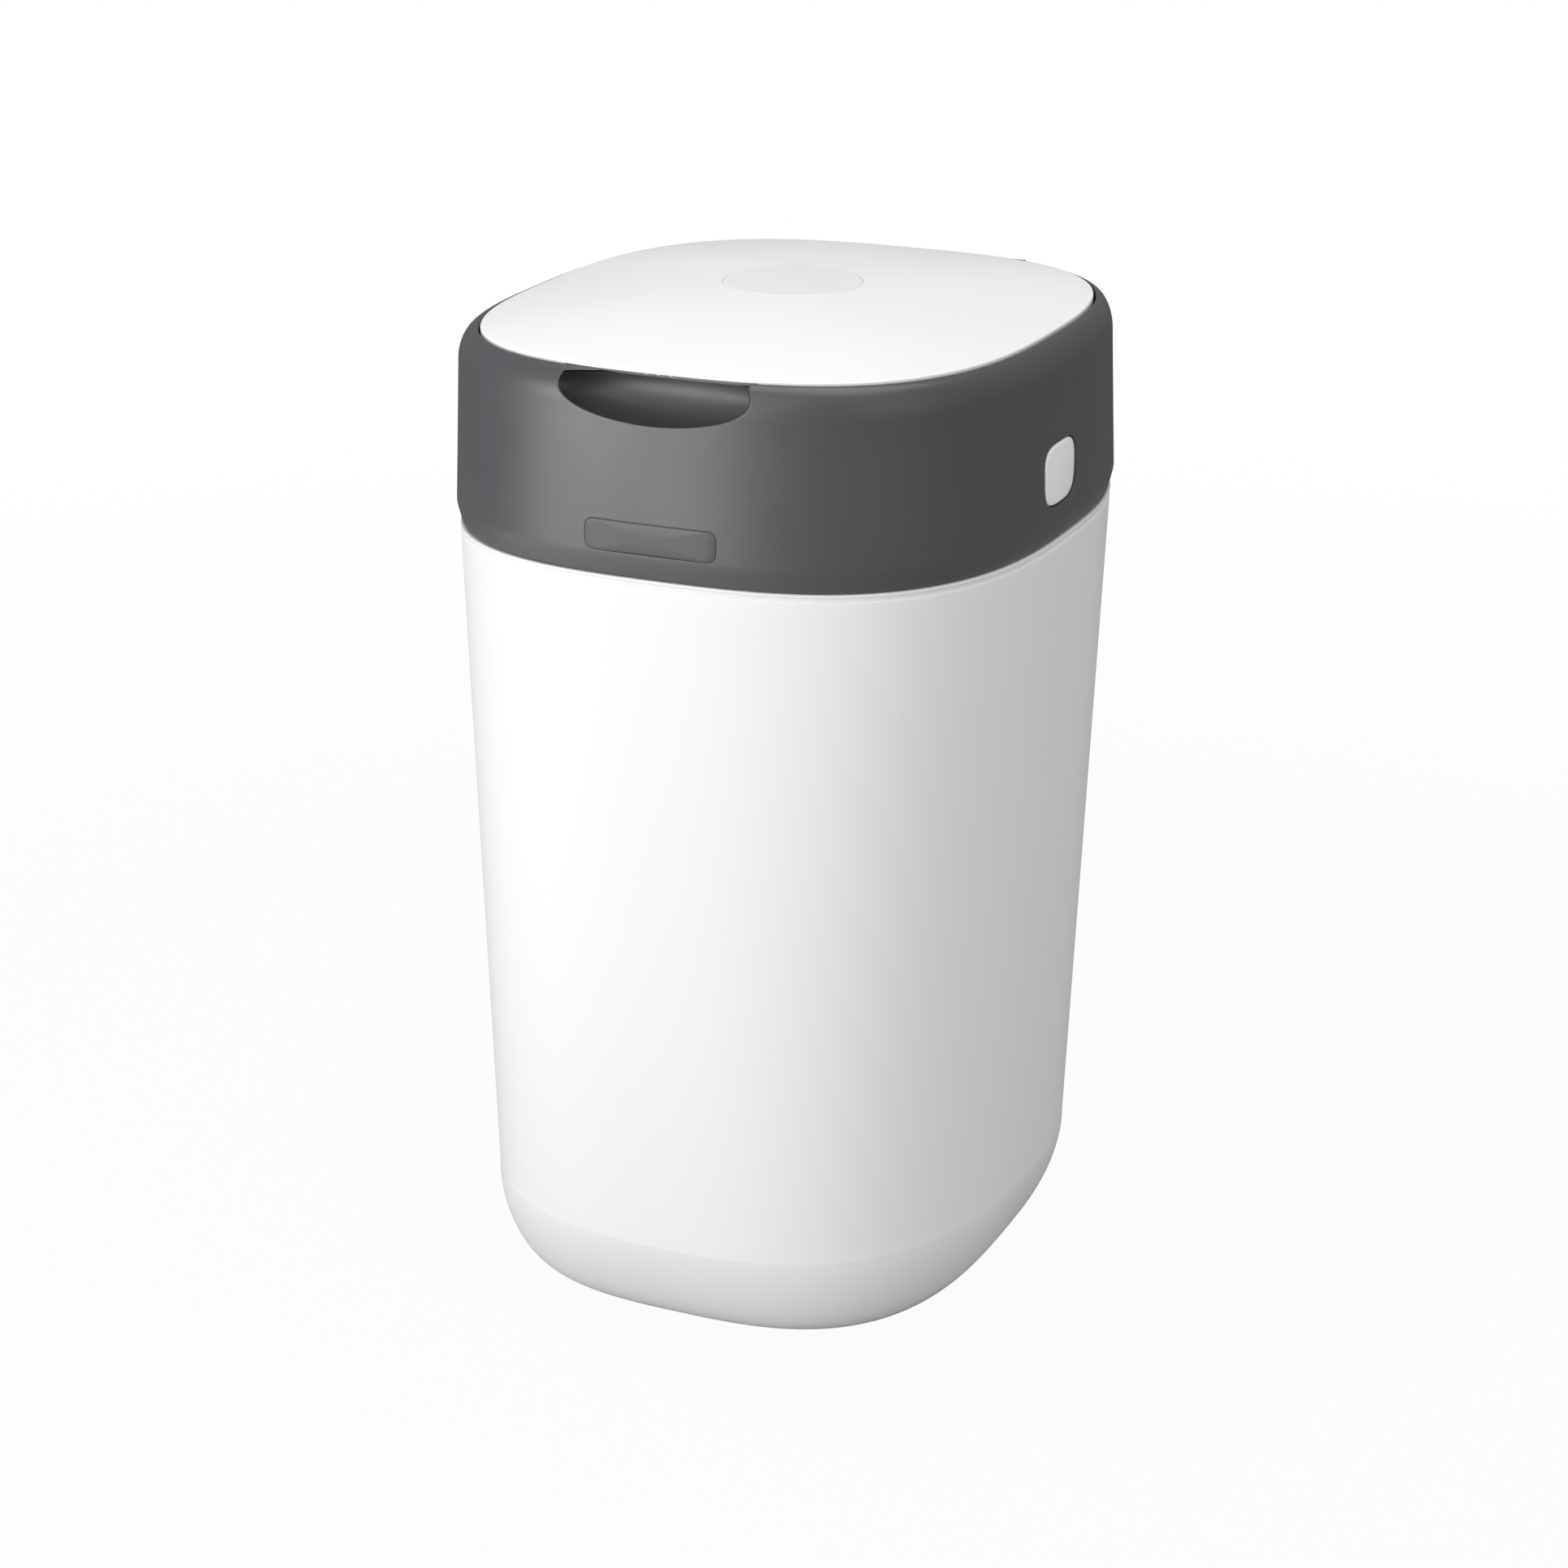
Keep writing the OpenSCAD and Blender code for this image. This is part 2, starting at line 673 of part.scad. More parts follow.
module lower_cover() {
    color("#6d7075") {
        difference() {
            translate([0, 0, cover_z]) linear_extrude(cover_t) difference() {
                polygon(outline(inset(collar_in, 0.3)));
                translate([0, collar_y]) circle(r = finger_root_r + 3);
                // Slot for the latch hook and its travel
                translate([hook_x - hook_nose - button_travel - 1, button_y - hook_w / 2 - 1])
                    square([button_travel + hook_t + 5.2, hook_w + 2]);
            }
            at_columns() translate([0, 0, cover_z - 1]) cylinder(r = screw_r + hole_play, h = cover_t + 2);
            clamp_screw_places() translate([0, 0, cover_z - 1])
                cylinder(r = screw_r + screw_play, h = cover_t + 2);
            translate([pawl_axis[0], pawl_axis[1], cover_z - 1])
                cylinder(r = pawl_pin_r + pin_fit, h = cover_t + 8);
        }
        // Boss that carries the click pawl
        translate([pawl_axis[0], pawl_axis[1], floor_z]) difference() {
            cylinder(r = 4, h = pawl_z - rest_gap - floor_z);
            translate([0, 0, -1]) cylinder(r = pawl_pin_r + pin_fit, h = 12);
        }
    }
}

module drum_housing() {
    color("#7b7e83") difference() {
        translate([0, collar_y, floor_z]) rotate_extrude() polygon([
            [finger_root_r + 2, 0], [housing_r, 0], [housing_r, deck_z - floor_z],
            [housing_in_r, deck_z - floor_z], [housing_in_r, floor_t],
            [track_r + track_w / 2, floor_t], [track_r + track_w / 2, floor_t + track_h],
            [track_r - track_w / 2, floor_t + track_h], [track_r - track_w / 2, floor_t],
            [finger_root_r + 2, floor_t]]);
        // Window that lets the pawl reach the notches
        translate([-housing_r - 3, collar_y - 5, pawl_z - 1]) cube([8, 17, pawl_h + 2]);
        clamp_screw_places() translate([0, 0, floor_z - 1])
            cylinder(r = screw_r + screw_play, h = floor_t + 2);
    }
}

// Throat parts under the drum

module clamp_screw_places() {
    for (i = [0 : clamp_screw_count - 1]) let (t = 360 * (i + 0.5) / clamp_screw_count)
        translate([clamp_screw_r * cos(t), collar_y + clamp_screw_r * sin(t), 0]) children();
}

module retaining_fingers() {
    sector = 360 / fingers;
    slit = 3;
    color("#8a8d92") difference() {
        union() {
            ring_solid(finger_root_r - 2, finger_ring_r, cover_z - finger_t, finger_t);
            for (i = [0 : fingers - 1])
                translate([0, collar_y, cover_z - finger_t]) rotate(i * sector)
                    rotate_extrude(angle = sector - slit) polygon([
                        [finger_root_r - 1, 0], [finger_hole_r, -finger_drop],
                        [finger_hole_r, finger_t - finger_drop], [finger_root_r - 1, finger_t]]);
        }
        clamp_screw_places() translate([0, 0, cover_z - finger_t - 1])
            cylinder(r = screw_r + hole_play, h = finger_t + 2);
    }
}

module clamp_ring() {
    color("#6d7075") difference() {
        translate([0, collar_y, clamp_flange_z]) rotate_extrude() polygon([
            [finger_root_r + 2, 0], [flange_r, 0], [flange_r, clamp_flange_t],
            [clamp_r, clamp_flange_t], [clamp_r, cover_z - finger_t - clamp_flange_z],
            [finger_root_r + 2, cover_z - finger_t - clamp_flange_z]]);
        clamp_screw_places() {
            translate([0, 0, clamp_flange_z - 1])
                cylinder(r = screw_r + hole_play, h = cover_z - clamp_flange_z + 1);
            translate([0, 0, clamp_flange_z - 1]) cylinder(r = head_r + 0.3, h = head_h + 1.2);
        }
    }
}

module clamp_screws() {
    color(steel) clamp_screw_places()
        screw(0, 0, clamp_flange_z + head_h + 0.2, floor_z + floor_t - clamp_flange_z - head_h - 0.4);
}

module deck_screws() {
    color(steel) at_columns() screw(0, 0, deck_top, screw_len, up = -1);
}

module cover_screws() {
    color(steel) at_columns() screw(0, 0, cover_z, screw_len);
}

// Release button and latch

module button_cap() {
    color(white) difference() {
        union() {
            intersection() {
                button_prism(button_hw, button_hh, cap_back_x, button_face_x + 2);
                // Domed face
                translate([button_face_x - dome_r, button_y, button_z]) sphere(r = dome_r, $fn = 160);
            }
            button_prism(button_hw + flange_w, button_hh + flange_w, flange_x - flange_t, flange_x);
        }
        // Hollow behind the face
        button_prism(button_hw - cap_wall, button_hh - cap_wall, cap_back_x - 1, button_face_x - cap_t);
        hook_screw_places() translate([cap_back_x - 1, 0, 0]) rotate([0, 90, 0])
            cylinder(r = hook_drill_r, h = 6);
    }
    // Posts that the hook is screwed to
    color(white) hook_screw_places() translate([cap_back_x, 0, 0]) rotate([0, 90, 0]) difference() {
        cylinder(r = hook_post_r, h = cap_depth - cap_t + 0.8);
        translate([0, 0, -1]) cylinder(r = hook_drill_r, h = 6);
    }
}

module hook_screw_places() {
    for (s = [-1, 1]) translate([0, button_y + s * hook_post_y, button_z]) children();
}

module latch_hook() {
    color("#8a8d92") difference() {
        union() {
            translate([0, button_y, button_z]) along_x(hook_x, hook_x + hook_t)
                polygon(round_box(button_hw - 2, button_hh - 1.5, 3));
            // Seat inside the return spring
            translate([hook_x - seat_h, button_y, button_z]) rotate([0, 90, 0])
                cylinder(r = spring_r - 1.3, h = seat_h);
            // Arm down to the keeper and its nose
            translate([0, button_y + hook_w / 2, 0]) rotate([90, 0, 0]) linear_extrude(hook_w) polygon([
                [hook_x + hook_t, button_z - 5], [hook_x, button_z - 5],
                [hook_x, collar_z + 12], [hook_x - hook_nose, collar_z + 8],
                [hook_x - hook_nose, hook_bottom + 1.5], [hook_x - 1, hook_bottom],
                [hook_x + hook_t, hook_bottom + 2], [hook_x + hook_t, hook_bottom + 4],
                [hook_x, hook_bottom + 4], [hook_x, collar_z + 6], [hook_x + hook_t, collar_z + 10]]);
        }
        hook_screw_places() translate([hook_x - 1, 0, 0]) rotate([0, 90, 0])
            cylinder(r = 1.1, h = hook_t + 2);
    }
}

module hook_screws() {
    color(steel) hook_screw_places() translate([hook_x, 0, 0]) rotate([0, 90, 0]) {
        cylinder(r = 1, h = hook_t + 4);
        translate([0, 0, -1.2]) cylinder(r = 2, h = 1.2);
    }
}

module button_guide() {
    inner_w = button_hw + flange_w + guide_play;
    inner_h = button_hh + flange_w + guide_play;
    color("#7b7e83") difference() {
        button_prism(inner_w + guide_t, inner_h + guide_t, guide_x, wall_in_x - guide_end_gap);
        button_prism(inner_w, inner_h, guide_x + guide_t, wall_in_x + 1);
        // Slot for the hook's arm
        translate([guide_x - 1, button_y - hook_w / 2 - 0.5, button_z - inner_h - guide_t - 1])
            cube([hook_x + hook_t + 1.5 - guide_x, hook_w + 1, inner_h - 3]);
        // Seat that centres the spring
        translate([guide_x + 1, button_y, button_z]) rotate([0, 90, 0])
            cylinder(r = spring_r + wire_r + 0.3, h = guide_t);
    }
}

// Coil along X between the guide's seat and the hook plate
module button_spring() {
    sides = 6;
    per_turn = 10;
    x0 = guide_x + 1 + wire_r + 0.05;
    x1 = hook_x - wire_r - 0.05;
    steps = spring_turns * per_turn;
    rows = [for (k = [0 : steps]) let (t = 360 * k / per_turn, x = x0 + (x1 - x0) * k / steps)
        [for (i = [0 : sides - 1]) let (u = 360 * i / sides, r = spring_r + wire_r * cos(u))
            [x + wire_r * sin(u), button_y + r * cos(t), button_z + r * sin(t)]]];
    faces = [for (k = [0 : steps - 1], i = [0 : sides - 1]) let (j = (i + 1) % sides)
        each [[k * sides + i, (k + 1) * sides + j, (k + 1) * sides + i],
              [k * sides + i, k * sides + j, (k + 1) * sides + j]]];
    caps = [[for (i = [sides - 1 : -1 : 0]) i], [for (i = [0 : sides - 1]) steps * sides + i]];
    color(steel) polyhedron([for (r = rows) each r], concat(faces, caps), convexity = 10);
}

// Click pawl

module pawl_pin() {
    top = pawl_z + pawl_h + rest_gap;
    color(steel) translate([pawl_axis[0], pawl_axis[1], 0]) {
        translate([0, 0, cover_z]) cylinder(r = pawl_pin_r, h = top - cover_z);
        translate([0, 0, top]) cylinder(r = pawl_pin_r * 2, h = 1.5);
    }
}

module click_pawl() {
    reach = pawl_nose - pawl_axis;
    turn = atan2(reach[1], reach[0]);
    color("#c9cbcd") difference() {
        union() {
            translate([pawl_axis[0], pawl_axis[1], pawl_z]) cylinder(r = pawl_boss_r, h = pawl_h);
            translate([pawl_nose[0], pawl_nose[1], pawl_z]) cylinder(r = pawl_nose_r, h = pawl_h);
            translate([pawl_axis[0], pawl_axis[1], pawl_z]) rotate(turn)
                translate([0, -pawl_nose_r, 0]) cube([norm(reach), 2 * pawl_nose_r - 0.8, pawl_h]);
        }
        translate([pawl_axis[0], pawl_axis[1], pawl_z - 1])
            cylinder(r = pawl_pin_r + pin_play, h = pawl_h + 2);
    }
}

// Lid

function crown_z(k) = lid_z + lid_crown * (1 - k * k);

function lid_outside(lift) = concat(
    [ring(lid, skirt_z), ring(lid, lid_z - 0.7), ring(inset(lid, 0.9), crown_z(0.993) + lift)],
    [for (k = [0.95, 0.86, 0.72, 0.55, 0.37, 0.19]) ring(lid, crown_z(k) + lift, k)]);

function lid_core() =
    [ring(inset(lid, lid_wall / 2), skirt_z),
     ring(inset(lid, lid_wall / 2), crown_z(0.985) - lid_wall / 2),
     ring(inset(lid, lid_wall / 2), crown_z(0.82) - lid_wall / 2, 0.82)];

function lid_inside() = concat(
    [for (k = [0.19, 0.4, 0.62, 0.82, 0.94])
        ring(inset(lid, lid_wall), crown_z(k) - lid_wall, k)],
    [ring(inset(lid, lid_wall), crown_z(0.985) - lid_wall), ring(inset(lid, lid_wall), skirt_z)]);

function liner_places() =
    [for (sx = [-1, 1], sy = [-1, 1]) let (t = liner_screw_turn)
        [sx * liner_screw_r * cos(t), collar_y + sy * liner_screw_r * sin(t)]];

module lid_shell() {
    color("#fafafa") {
        difference() {
            union() {
                skin(concat(lid_inside(), lid_outside(0)));
                // Bosses for the liner's screws
                intersection() {
                    for (p = liner_places()) translate([p[0], p[1], skirt_z + liner_t])
                        cylinder(r = liner_boss_r, h = lid_crown + lid_wall);
                    skin(lid_outside(-1));
                }
                // Solid front that a finger hooks under
                intersection() {
                    translate([-nose_hw, lid_front - 1, skirt_z])
                        cube([2 * nose_hw, nose_d + 1, lid_crown + skirt_h]);
                    skin(lid_core());
                }
            }
            finger_relief();
            // Seat of the round inlay
            translate([0, lid_y, crown_z(0) - 1.4]) cylinder(r = disc_r + 0.1, h = 5);
            for (p = liner_places()) translate([p[0], p[1], skirt_z])
                cylinder(r = screw_r + screw_play, h = liner_screw_len + 1);
        }
        hinge_tongue();
        // Three grip ribs on the relief
        for (x = [-5.5, 0, 5.5]) along_x(x - grip_rib_w / 2, x + grip_rib_w / 2)
            translate([lid_front + 0.3, lid_z - edge_t]) polygon([
                [0, -0.5], [grip_rib_l, -0.5 - relief_slope * grip_rib_l],
                [grip_rib_l, 0.3 - relief_slope * grip_rib_l], [0, 0.3]]);
    }
}

// Sloping cut under the lid's front edge, along the line of the edge and no wider than the scoop
module finger_relief() {
    top = skirt_z + relief_slope * (relief_d + 1);
    difference() {
        intersection() {
            translate([-relief_hw, lid_front - 2, skirt_z - 1])
                cube([2 * relief_hw, relief_d * 2, top - skirt_z + 1]);
            scoop_form(relief_room);
        }
        skin([ring(inset(lid, relief_d), skirt_z - 2), ring(inset(lid, relief_d), skirt_z),
              ring(inset(lid, -1), top), ring(inset(lid, -1), top + 1)]);
    }
}

module hinge_tongue() {
    back = lid_y + lid_b;
    along_x(-tongue_hw, tongue_hw) difference() {
        union() {
            translate([lid_axis_y, lid_axis_z]) circle(r = lid_knuckle_r);
            polygon([[back - lid_wall, lid_z - 1.4], [back + 1.2, lid_z - 1.4],
                     [lid_axis_y, lid_axis_z + lid_knuckle_r], [lid_axis_y, lid_axis_z - lid_knuckle_r],
                     [back + 4, skirt_z - 1.6], [back - lid_wall, skirt_z + 0.2]]);
        }
        translate([lid_axis_y, lid_axis_z]) circle(r = lid_pin_r + pin_play);
    }
}

module lid_hinge_pin() {
    color(steel) rod_x(lid_pin_r, tongue_hw + ear_gap + ear_w - pin_short, lid_axis_y, lid_axis_z);
}

module lid_liner() {
    rib = 1.5;
    color("#e9eaeb") difference() {
        union() {
            translate([0, 0, skirt_z]) linear_extrude(liner_t) difference() {
                polygon(outline(inset(lid, lid_wall + liner_gap)));
                translate([-nose_hw - liner_gap, lid_front])
                    square([2 * (nose_hw + liner_gap), nose_d + liner_gap]);
            }
            ring_solid(seal_r - seal_w / 2 - rib, seal_r + seal_w / 2 + rib, deck_top + 3.5,
                       skirt_z - deck_top - 3.5);
        }
        ring_solid(seal_r - seal_w / 2, seal_r + seal_w / 2, deck_top, skirt_z - deck_top - 1);
        for (p = liner_places()) translate([p[0], p[1], skirt_z - 1])
            cylinder(r = screw_r + hole_play, h = liner_t + 2);
    }
}

module lid_seal() {
    color("#9a9da1") translate([0, collar_y, deck_top + rest_gap]) rotate_extrude()
        translate([seal_r, 0]) polygon([
            [-seal_w / 2 + 1, 0], [seal_w / 2 - 1, 0], [seal_w / 2, 1],
            [seal_w / 2, skirt_z - deck_top - 1 - rest_gap],
            [-seal_w / 2, skirt_z - deck_top - 1 - rest_gap], [-seal_w / 2, 1]]);
}

module lid_disc() {
    color(pale) intersection() {
        translate([0, lid_y, crown_z(0) - 1.4]) cylinder(r = disc_r, h = 5);
        skin(lid_outside(0.15));
    }
}

module liner_screws() {
    color(steel) for (p = liner_places()) screw(p[0], p[1], skirt_z, liner_screw_len);
}

// Twist drum

module cassette_tray() {
    wall_top = deck_z - rest_gap;
    color("#8f9296") difference() {
        translate([0, collar_y, 0]) rotate_extrude() polygon([
            [finger_root_r, tray_z], [tray_r, tray_z], [tray_r, wall_top],
            [tray_r - tray_wall, wall_top], [tray_r - tray_wall, tray_z + notch_zone_h + 2],
            [cassette_r + 0.6, tray_z + notch_zone_h], [cassette_r + 0.6, cassette_z],
            [finger_root_r, cassette_z]]);
        // Click notches
        for (i = [0 : notches - 1])
            translate([notch_centre_r * cos(360 * i / notches),
                       collar_y + notch_centre_r * sin(360 * i / notches), tray_z - 1])
                cylinder(r = notch_r, h = notch_zone_h + 1);
    }
}

module film_cassette() {
    color("#e3e5e8") translate([0, collar_y, cassette_z]) rotate_extrude() polygon([
        [throat_r, 0], [cassette_r, 0], [cassette_r, cassette_h],
        [cassette_r - cassette_wall, cassette_h], [cassette_r - cassette_wall, cassette_wall],
        [throat_r + cassette_wall, cassette_wall], [throat_r + cassette_wall, cassette_h - 1.5],
        [throat_r, cassette_h - 1.5]]);
}

// Film folded into the cassette in flat pleats
module film_pack() {
    r_in = throat_r + cassette_wall + 2.5;
    r_out = cassette_r - cassette_wall - 2.5;
    low = cassette_wall;
    high = cassette_h - 5;
    step = (high - low) / pleats;
    fold = 1.6;
    outer = [for (i = [0 : pleats - 1])
        each [[r_out - fold, low + i * step], [r_out, low + (i + 0.5) * step]]];
    inner = [for (i = [pleats - 1 : -1 : 0])
        each [[r_in + fold, low + (i + 1) * step], [r_in, low + (i + 0.5) * step]]];
    color("#c8dbe4") translate([0, collar_y, cassette_z]) rotate_extrude()
        polygon(concat(outer, [[r_out - fold, high]], inner, [[r_in + fold, low]]));
}

module cassette_cap() {
    groove = cassette_r - cassette_wall - 0.2;
    color("#dfe3e6") translate([0, collar_y, cassette_top]) rotate_extrude() polygon([
        [throat_r + cassette_wall + 3, 0], [groove - 1.6, 0], [groove - 1.6, -3], [groove, -3],
        [groove, 0], [cassette_r, 0], [cassette_r, cassette_cap_t],
        [throat_r + cassette_wall + 3, cassette_cap_t]]);
}

module twist_ring() {
    rim_out = deck_hole_r - 0.6;
    inner = finger_root_r + 2;
    color(white) {
        translate([0, collar_y, twist_z]) rotate_extrude() polygon([
            [inner, 0], [rim_out, 0], [rim_out, 6], [rim_out - 1, 7], [rim_out - 2.6, 7],
            [rim_out - 2.6, twist_t], [inner, twist_t]]);
        for (i = [0 : grips - 1]) translate([0, collar_y, twist_z + twist_t]) rotate(360 * i / grips)
            translate([inner + 3, 0, 0]) linear_extrude(grip_h) {
                square_len = rim_out - 5 - inner - 3;
                translate([2.5, -2.5]) square([square_len - 5, 5]);
                translate([2.5, 0]) circle(r = 2.5);
                translate([square_len - 2.5, 0]) circle(r = 2.5);
            }
    }
}

// Film cutter

module cutter_ring() {
    color("#f1f1f1") {
        ring_solid(clamp_r + rest_gap, cutter_r, cutter_z, cutter_t);
        translate([0, collar_y, 0]) {
            // Arm that carries the blade below the clamp's flange
            translate([0, arm_w / 2, 0]) rotate([90, 0, 0]) linear_extrude(arm_w) polygon([
                [flange_r + 1.5, cutter_z + 1], [cutter_r - 1, cutter_z + 1], [cutter_r - 1, arm_z + 1],
                [cutter_r - 2, arm_z], [arm_end_r, arm_z], [arm_end_r, arm_z + arm_t],
                [flange_r + 1.5, arm_z + arm_t]]);
            // Finger tab
            rotate(180) translate([cutter_r - 1, -tab_w / 2, cutter_z]) cube([tab_len, tab_w, cutter_t]);
            rotate(180) translate([cutter_r - 1 + tab_len - tab_t, -tab_w / 2, cutter_z - tab_drop])
                cube([tab_t, tab_w, tab_drop]);
        }
    }
}

module blade_screw_places() {
    for (r = [arm_end_r + 4, arm_end_r + 12]) translate([r, collar_y, 0]) children();
}

module cutter_blade() {
    color(steel) translate([0, collar_y, arm_z + arm_t]) difference() {
        linear_extrude(blade_t) polygon([
            [blade_reach_r, 3 - arm_w / 2], [arm_end_r, -arm_w / 2],
            [blade_reach_r + blade_len, -arm_w / 2], [blade_reach_r + blade_len, arm_w / 2],
            [blade_reach_r + 4, arm_w / 2]]);
        translate([0, -collar_y, -1]) blade_screw_places() cylinder(r = 1.05, h = 3);
    }
}

module blade_screws() {
    color(steel) blade_screw_places() translate([0, 0, arm_z + arm_t + blade_t]) {
        cylinder(r = 1.8, h = 0.8);
        translate([0, 0, -blade_t]) cylinder(r = 1, h = blade_t);
    }
}

tub_shell();
base_ring();
unit_hinge_pin();
collar_shell();
badge_plate();
inner_deck();
drum_housing();
lower_cover();
retaining_fingers();
clamp_ring();
clamp_screws();
deck_screws();
cover_screws();
lid_hinge_pin();
button_guide();
button_spring();
pawl_pin();
lid_shell();
lid_liner();
lid_seal();
lid_disc();
liner_screws();
cassette_tray();
film_cassette();
film_pack();
cassette_cap();
twist_ring();
button_cap();
latch_hook();
hook_screws();
click_pawl();
cutter_ring();
cutter_blade();
blade_screws();
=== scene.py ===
import math

import bmesh
import bpy
import numpy as np
from bpy.props import FloatProperty, FloatVectorProperty, IntProperty, PointerProperty
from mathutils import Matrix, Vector


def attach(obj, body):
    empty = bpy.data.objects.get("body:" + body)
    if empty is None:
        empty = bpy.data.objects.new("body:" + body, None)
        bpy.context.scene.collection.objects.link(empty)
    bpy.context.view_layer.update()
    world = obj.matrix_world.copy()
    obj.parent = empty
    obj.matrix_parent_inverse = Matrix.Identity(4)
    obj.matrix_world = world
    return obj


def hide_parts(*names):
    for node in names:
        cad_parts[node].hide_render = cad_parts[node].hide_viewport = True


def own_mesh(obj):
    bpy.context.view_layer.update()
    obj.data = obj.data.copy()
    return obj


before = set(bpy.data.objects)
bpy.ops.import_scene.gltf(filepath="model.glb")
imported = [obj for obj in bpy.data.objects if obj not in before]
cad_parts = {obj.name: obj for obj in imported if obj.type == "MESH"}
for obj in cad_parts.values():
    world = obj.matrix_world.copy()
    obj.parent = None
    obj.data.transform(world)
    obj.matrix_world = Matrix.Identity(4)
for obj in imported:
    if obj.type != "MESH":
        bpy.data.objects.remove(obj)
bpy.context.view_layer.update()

bl_info = {
    "name": "Nappy bin",
    "version": (1, 0, 0),
    "blender": (4, 5, 0),
    "location": "View3D > Sidebar > Nappy bin",
    "description": "Dresses a nappy bin with a tilting top, a twist drum and a flush lid",
    "category": "Object",
}

MM = 0.001
AROUND = 320          # points round a smooth shell
CREASE = math.radians(28)


# Colours and sizes that a user would change

def to_linear(code):
    """An sRGB hex code as linear RGBA."""
    parts = [int(code[i:i + 2], 16) / 255 for i in (1, 3, 5)]
    return tuple(c / 12.92 if c <= 0.04045 else ((c + 0.055) / 1.055) ** 2.4 for c in parts) + (1.0,)


def length(label, size_mm, words, low=0.0, high=2000.0):
    return FloatProperty(name=label, description=words, default=size_mm * MM, min=low * MM, max=high * MM,
                         subtype="DISTANCE", unit="LENGTH", precision=4)


def tint(label, code, words):
    return FloatVectorProperty(name=label, description=words, subtype="COLOR", size=4, min=0, max=1,
                               default=to_linear(code))


class BinShellSizes(bpy.types.PropertyGroup):
    """Half sizes and heights of the three moulded shells."""
    rim_a: length("Rim half width", 129.4, "Half width of the tub at its rim")
    rim_b: length("Rim half depth", 139.7, "Half depth of the tub at its rim")
    band_a: length("Crease half width", 119.75, "Half width of the tub at the crease above its base")
    band_b: length("Crease half depth", 134.8, "Half depth of the tub at the crease above its base")
    band_z: length("Crease height", 41.4, "Height of the crease above the floor")
    base_inset: length("Base inset", 22, "How far the base curves in below the crease")
    tub_bottom: length("Tub bottom", 1.2, "Height of the tub's underside above the floor")
    tub_wall: length("Tub wall", 2.6, "Thickness of the tub wall")
    rim_z: length("Rim height", 340.7, "Height of the tub's rim")
    collar_z: length("Collar height", 341, "Height of the collar's bottom edge")
    collar_a: length("Collar half width", 128.4, "Half width of the collar at its bottom edge")
    collar_b: length("Collar half depth", 138.7, "Half depth of the collar at its bottom edge")
    collar_y: length("Collar offset", 5.9, "How far the collar lies behind the base's middle")
    chamfer_d: length("Chamfer depth", 2.2, "Depth of the chamfer round the collar's bottom edge")
    lid_a: length("Lid half width", 118.4, "Half width of the lid")
    lid_b: length("Lid half depth", 132.2, "Half depth of the lid")
    lid_y: length("Lid offset", 7.4, "How far the lid lies behind the base's middle")
    lid_z: length("Lid edge height", 425, "Height of the lid's edge")
    lid_crown: length("Lid crown", 11, "How far the lid's middle rises above its edge")
    relief_half: length("Relief half width", 46, "Half width of the relief under the lid's front edge")
    relief_depth: length("Relief depth", 14, "How far the relief reaches in under the lid")


class BinDetailSizes(bpy.types.PropertyGroup):
    """Sizes of the small visible details."""
    badge_half_width: length("Plate half width", 29.2, "Half width of the bare front plate")
    badge_half_height: length("Plate half height", 6.4, "Half height of the bare front plate")
    badge_z: length("Plate height", 358, "Height of the plate's middle")
    button_y: length("Button place", -9.4, "Place of the button's middle, front to back", low=-50)
    button_z: length("Button height", 369.9, "Height of the button's middle")
    button_half_width: length("Button half width", 17.5, "Half width of the release button")
    button_half_height: length("Button half height", 13, "Half height of the release button")
    scoop_half: length("Scoop half width", 50.5, "Half width of the finger scoop's spindle")
    scoop_radius: length("Scoop radius", 15.8, "Radius of the finger scoop's spindle")
    disc_radius: length("Inlay radius", 30, "Radius of the round inlay on the lid")
    knurls: IntProperty(name="Grip ribs", description="Small ribs inside the twist ring's rim", default=120, min=24, max=180)
    pleats: IntProperty(name="Film folds", description="Folds round the packed film", default=90, min=24, max=140)


class BinColours(bpy.types.PropertyGroup):
    """Base colours of the moulded plastics."""
    tub_white: tint("Tub white", "#EBEBEB", "Moulded polypropylene of the tub")
    lid_white: tint("Lid white", "#F6F6F6", "Gloss ABS of the lid")
    slate: tint("Slate", "#4C4D50", "Textured ABS of the collar")
    inner_grey: tint("Inner grey", "#7C7F84", "Plain moulded plastic inside the top")
    inlay_grey: tint("Inlay grey", "#EAEBEC", "Round inlay on the lid")


def sizes():
    return bpy.context.scene.bin_shells


def details():
    return bpy.context.scene.bin_details


def colours():
    return bpy.context.scene.bin_colours


# Mesh helpers. A station is a level of a swept shell: [half width, half depth, squareness, y of centre, z].

def outline(station, count=AROUND):
    a, b, n, y0, z = station
    turn = np.linspace(0, 2 * np.pi, count, endpoint=False)
    c, s = np.cos(turn), np.sin(turn)
    r = (np.abs(c / a) ** n + np.abs(s / b) ** n) ** (-1 / n)
    return np.stack([r * c, y0 + r * s, np.full(count, z)], axis=1)


def grown(station, by, z=None):
    s = np.array(station, float)
    s[:2] += by
    if z is not None:
        s[4] = z
    return s


